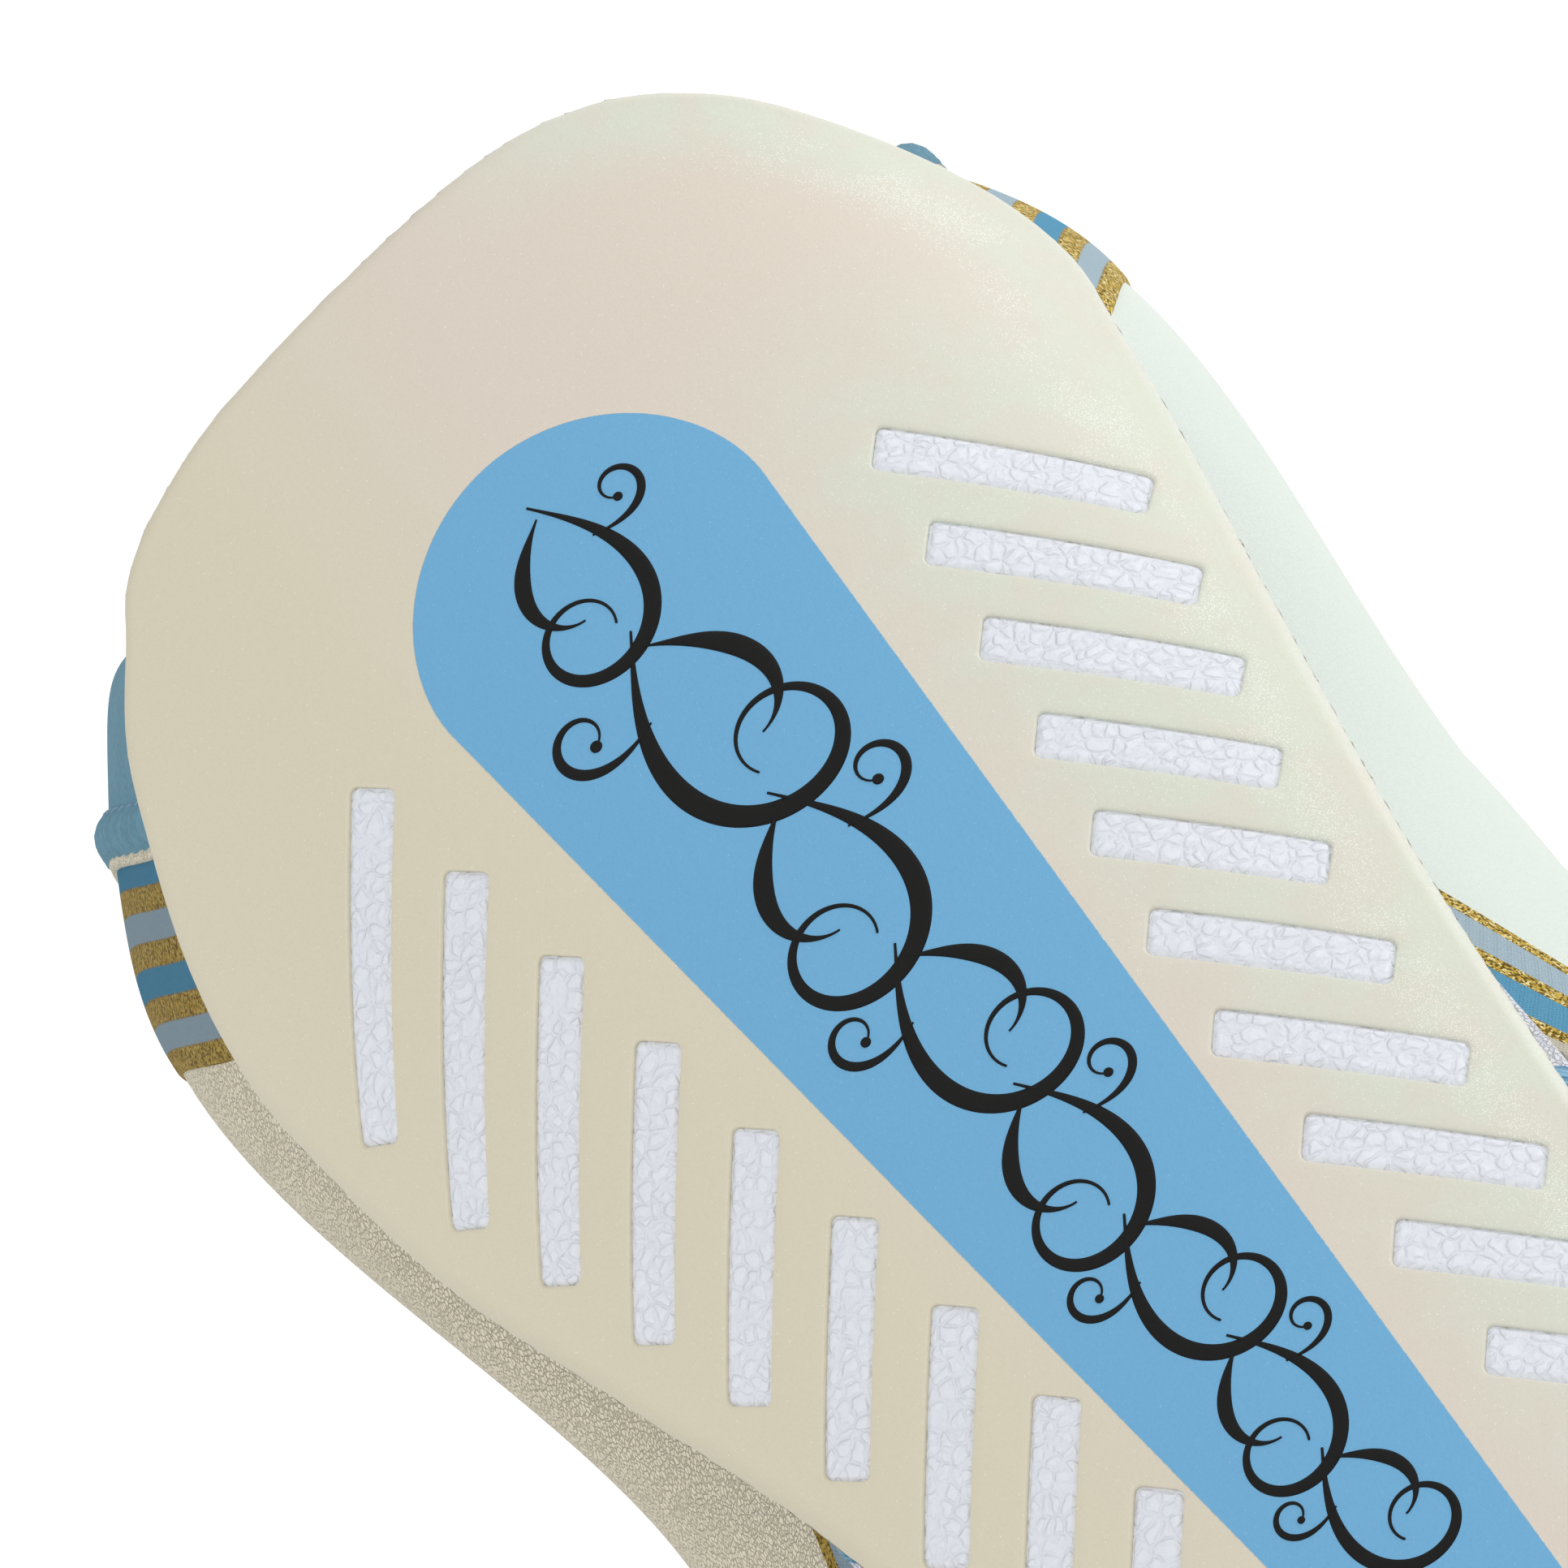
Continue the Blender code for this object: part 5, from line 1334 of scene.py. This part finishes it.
def cover_layer(top, low, inset, rows=70, columns=46, radius=0.0004):
    """A plain layer of the cover between two lifts, its outline drawn in by inset."""
    pick = np.unique(np.linspace(0, film_s.shape[0] - 1, rows).astype(int))
    f = np.sin(np.linspace(-1, 1, columns) * 1.2)[None, :] / math.sin(1.2)
    left, right = film_t[pick, :1], film_t[pick, -1:]
    t = (left + inset) * np.clip(-f, 0, 1) + (right - inset) * np.clip(f, 0, 1)
    s = np.stack([np.interp(row_t, film_t[i], film_s[i]) for i, row_t in zip(pick, t)])
    s = s + inset * np.clip(1 - s / 0.012, 0, 1)
    s = np.minimum(s, cover_length - 0.0006)
    near = np.clip(to_rim(s, t) - inset, 0, radius)
    return wall(cover(s, t, top - radius * quarter_round(1 - near / radius)), cover(s, t, low))


def window_pads(side, bars):
    """Soft bars of leather that fill the windows: a rounded plan, a low crown, and shallow tumbled lumps."""
    centres, inner, outer = bars
    f = stations(34, 1.0, 0.04)[None, :, None]
    g = stations(9, 1.0, 0.16)[None, None, :]
    size = (stretch * (outer - inner))[:, None, None]
    a = f * size
    b = (2 * g - 1) * window_half
    da, db = round_corners(a, a - size, b)
    a, b = a + da, b + db
    t = inner[:, None, None] + (a + end_slope * b) / stretch
    s = centres[:, None, None] - stretch * b + slant * t
    edge = np.minimum(np.minimum(f, 1 - f) * size, (1 - np.abs(2 * g - 1)) * window_half)
    lump = np.sin(s * 5200 + 3 * np.sin(t * 3100)) * np.sin(t * 4600 + 2 * np.sin(s * 2700))
    lift = -0.00028 + 0.00020 * ease(edge / 0.00035) + 0.00004 * lump * ease(edge / 0.0005)
    return [wall(top, under) for top, under in zip(cover(s, side * t, lift), cover(s, side * t, -0.0011))]


leather_layer = cover_layer(top=-0.00078, low=-0.0019, inset=0.0012)
leather_solid = gather([leather_layer] + window_pads(-1, left_bars) + window_pads(1, right_bars))
cover_hide = piece("cover_leather", leather_solid, pebbled, "flap")
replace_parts(cover_hide, "flap_leather")

# Cover backing: pale blue microfibre suede against the lace, with a hook patch
# that meets the loop patch on the tongue pad.
suede = Finish("microfibre_suede", "pale_fabric", {"Sheen Weight": 0.5, "Sheen Roughness": 0.5})
nap = suede.noise(1400, 5, 0.7)
suede.paint(suede.mix(nap, "8FB2C6", "BCD5E2")).rough(0.85 + 0.1 * nap)
suede.emboss(nap, 0.00018)
backing_layer = cover_layer(top=-0.0020, low=-0.0029, inset=0.0016)
backing = piece("cover_backing", backing_layer, suede, "flap")
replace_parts(backing, "flap_backing")

pile = Finish("hook_and_loop", "dark_fabric", {"Sheen Weight": 0.4})
tuft = pile.cells(2600, "F1")
pile.paint(pile.mix(tuft, "59636B", "22272B")).rough(0.8 + 0.1 * tuft)
pile.emboss(1 - tuft, 0.0004)
patch_length, patch_width, patch_first = 0.012, 0.018, 0.021
hook_top, hook_low, loop_top, loop_low = -0.0034, -0.0043, -0.0047, -0.0057
patch_f, patch_g, patch_drop = lattice(30, patch_length, 40, patch_width, 0.0003)
patch_s = patch_first + patch_length * patch_f
patch_t = patch_width * (patch_g - 0.5)
fuzz = 0.00012 * np.sin(patch_s * 9000) * np.sin(patch_t * 9000)


def under_cover(lift):
    """The patch's grid at a lift straight along the normal of the cover's spine."""
    return cover(patch_s, patch_t) + np.asarray(lift)[..., None] * face


hook = wall(under_cover(hook_top), under_cover(hook_low + patch_drop + fuzz))
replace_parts(piece("hook_patch", hook, pile, "flap"), "flap_hook_patch")
loop = wall(under_cover(loop_top - patch_drop - fuzz), under_cover(loop_low))
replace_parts(piece("loop_patch", loop, pile), "tongue_loop_patch")

# Tongue pad: a block of foam covered in collar cloth, sewn on the tongue; it holds
# the loop patch up to the cover.
pad_lift, pad_height, pad_seat = -0.0060, 0.008, 0.0017
pad_top = under_cover(pad_lift - patch_drop)
pad_foot = pad_top - pad_height * face
pad_low = over_throat(pad_foot[..., 0], pad_foot[..., 1], pad_seat)
pad = piece("tongue_pad_block", wall(pad_top, pad_low), collar_cloth)
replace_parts(pad, "tongue_pad")

# Cover root: a padded wedge of cream leather sewn to the vamp ahead of the throat;
# the cover folds back from it over the lace.
root_length, root_half, root_seat, root_thin = 0.0215, 0.0190, 0.0003, 0.0014
root_start = hinge[0] + 0.0001


def root_height(out, across, edge):
    """Height of the root over the vamp, up to the cover at the hinge and easing to root_thin ahead."""
    rise = np.maximum(hinge[2] - 0.0003 - 0.0030 * across**2 - edge, 0.0015)
    return root_thin + (rise - root_thin) * (1 - ease(out * 1.02))


root_f, root_g, root_drop = lattice(50, root_length, 60, 2 * root_half, 0.0009)
root_y = 2 * root_g - 1
root_low = over_throat(root_start + root_length * root_f, root_y * (root_half - 0.003 * root_f**2), root_seat)
root_top = root_low.copy()
root_top[..., 2] += root_height(root_f, root_y, root_low[:1, :, 2]) - 0.6 * root_drop
root = piece("cover_root_leather", wall(root_top, root_low), cream_hide)
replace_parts(root, "flap_root")

# Hinge tape: a soft leather tape glued over the fold, half on the root and half on the cover; it is bent over
# the fold.
tape_length, tape_half, tape_thick, tape_bend = 0.012, 0.0172, 0.0007, 0.0025
tape_f, tape_g, tape_drop = lattice(30, tape_length, 40, 0.034, 0.0003)
tape_t = tape_half * (2 * tape_g - 1)
tape_s = cover_length + tape_length * (tape_f - 0.5)
on_cover = cover(np.minimum(tape_s, cover_length), tape_t)
ahead_x = np.clip(tape_s - cover_length, 0, None)
root_place = over_throat(root_start + ahead_x, tape_t, root_seat)
root_edge = over_throat(root_start, tape_t, root_seat)
root_face = root_place[..., 2] + root_height(ahead_x / root_length, tape_t / root_half, root_edge[..., 2])
fold_height = on_cover[..., 2] + (root_face - on_cover[..., 2]) * ease(ahead_x / 0.0015)
on_root = np.stack([root_start + ahead_x, tape_t, fold_height], -1)
past_hinge = (tape_s > cover_length)[..., None]
tape_base = np.where(past_hinge, on_root, on_cover)
tape_up = np.where(past_hinge, np.array([0.3, 0.0, 0.954]), face)
tape_top = tape_base + (tape_thick - tape_drop)[..., None] * tape_up
tape_low = tape_base + 0.00015 * tape_up
tape = piece("hinge_tape", wall(tape_top, tape_low), cream_hide, None)
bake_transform(tape)

# Studio: a pale floor, a bright even room, a broad lamp on the inner side, one over
# the toe and a weak one on the outer side; the camera looks along the cover, rolled left.
scene = bpy.context.scene
scene.view_settings.view_transform = "Standard"
paper = Finish("floor_paper", None, {"Roughness": 0.9})
paper.paint(paper.mix(paper.noise(30, 2), "F4F4F3", "F7F7F6"))
glow = paper.add("Emission", {}, {"Color": (1, 1, 1, 1), "Strength": 1.35})
direct_rays = ("Is Camera Ray", "Is Glossy Ray", "Is Transmission Ray")
path = paper.add("LightPath", {}, {}).socket.node
direct = sum(Value(paper, path.outputs[kind]) for kind in direct_rays).of("MINIMUM", 1.0)
lit = paper.add("MixShader", {}, {0: direct * 0.6, 1: Value(paper, paper.shader.outputs[0]), 2: glow})
paper.feed(paper.tree.nodes["Material Output"].inputs["Surface"], lit)
floor_mesh = bpy.data.meshes.new("floor")
floor_half, floor_drop = 4.0, 0.0002
floor_plan = ((-1, -1), (1, -1), (1, 1), (-1, 1))
floor_corners = [(floor_half * x, floor_half * y, -floor_drop) for x, y in floor_plan]
floor_mesh.from_pydata(floor_corners, [], [(0, 1, 2, 3)])
floor_mesh.materials.append(paper.material)
floor = bpy.data.objects.new("floor", floor_mesh)
scene.collection.objects.link(floor)

room = bpy.data.worlds.new("room")
room.use_nodes = True
sky = room.node_tree.nodes["Background"]
sky.inputs["Color"].default_value = (1, 1, 1, 1)
seen = room.node_tree.nodes.new("ShaderNodeLightPath")
strength = None
for kind in direct_rays:
    level = room.node_tree.nodes.new("ShaderNodeMapRange")
    level.inputs["To Min"].default_value = 0.545
    level.inputs["To Max"].default_value = 1.0
    room.node_tree.links.new(seen.outputs[kind], level.inputs["Value"])
    if strength:
        room.node_tree.links.new(strength, level.inputs["To Min"])
    strength = level.outputs[0]
room.node_tree.links.new(strength, sky.inputs["Strength"])
scene.world = room


def lamp(name, place, aim, size, power):
    """A square soft lamp at a place, turned towards its aim."""
    data = bpy.data.lights.new(name, "AREA")
    data.shape = "SQUARE"
    data.size = size
    data.energy = power
    item = bpy.data.objects.new(name, data)
    back = unit(np.array(place, float) - np.array(aim, float))
    right = unit(np.cross([0, 0, 1.0], back))
    turn = np.column_stack([right, np.cross(back, right), back])
    item.matrix_world = Matrix.Translation(place) @ Matrix(turn.tolist()).to_4x4()
    scene.collection.objects.link(item)


lamp("inner_side_lamp", (-0.20, 1.20, 0.45), (0.02, 0, 0.08), size=0.9, power=6.6)
lamp("front_lamp", (1.0, -0.15, 1.35), (0.02, 0, 0.08), size=1.2, power=8.05)
lamp("outer_side_lamp", (0.10, -1.20, 0.08), (0.02, 0, 0.06), size=0.9, power=2.6)

look_at = np.array([0.01961, 0.00062, 0.11348])
elevation, tilt = math.radians(26.0), math.radians(40.3)
distance = 0.9
pixels_per_metre, frame_pixels = 22450.0, 1932
back = np.array([math.cos(elevation), 0.0, math.sin(elevation)])
right = unit(np.cross([0, 0, 1.0], back))
up = np.cross(back, right)
image_right = math.cos(tilt) * right - math.sin(tilt) * up
image_up = math.sin(tilt) * right + math.cos(tilt) * up
lens = bpy.data.cameras.new("camera")
lens.sensor_width = 36.0
lens.lens = lens.sensor_width * distance * pixels_per_metre / frame_pixels
lens.clip_start = 0.05
camera = bpy.data.objects.new("camera", lens)
turned = Matrix(np.column_stack([image_right, image_up, back]).tolist()).to_4x4()
camera.matrix_world = Matrix.Translation(look_at + distance * back) @ turned
scene.collection.objects.link(camera)
scene.camera = camera
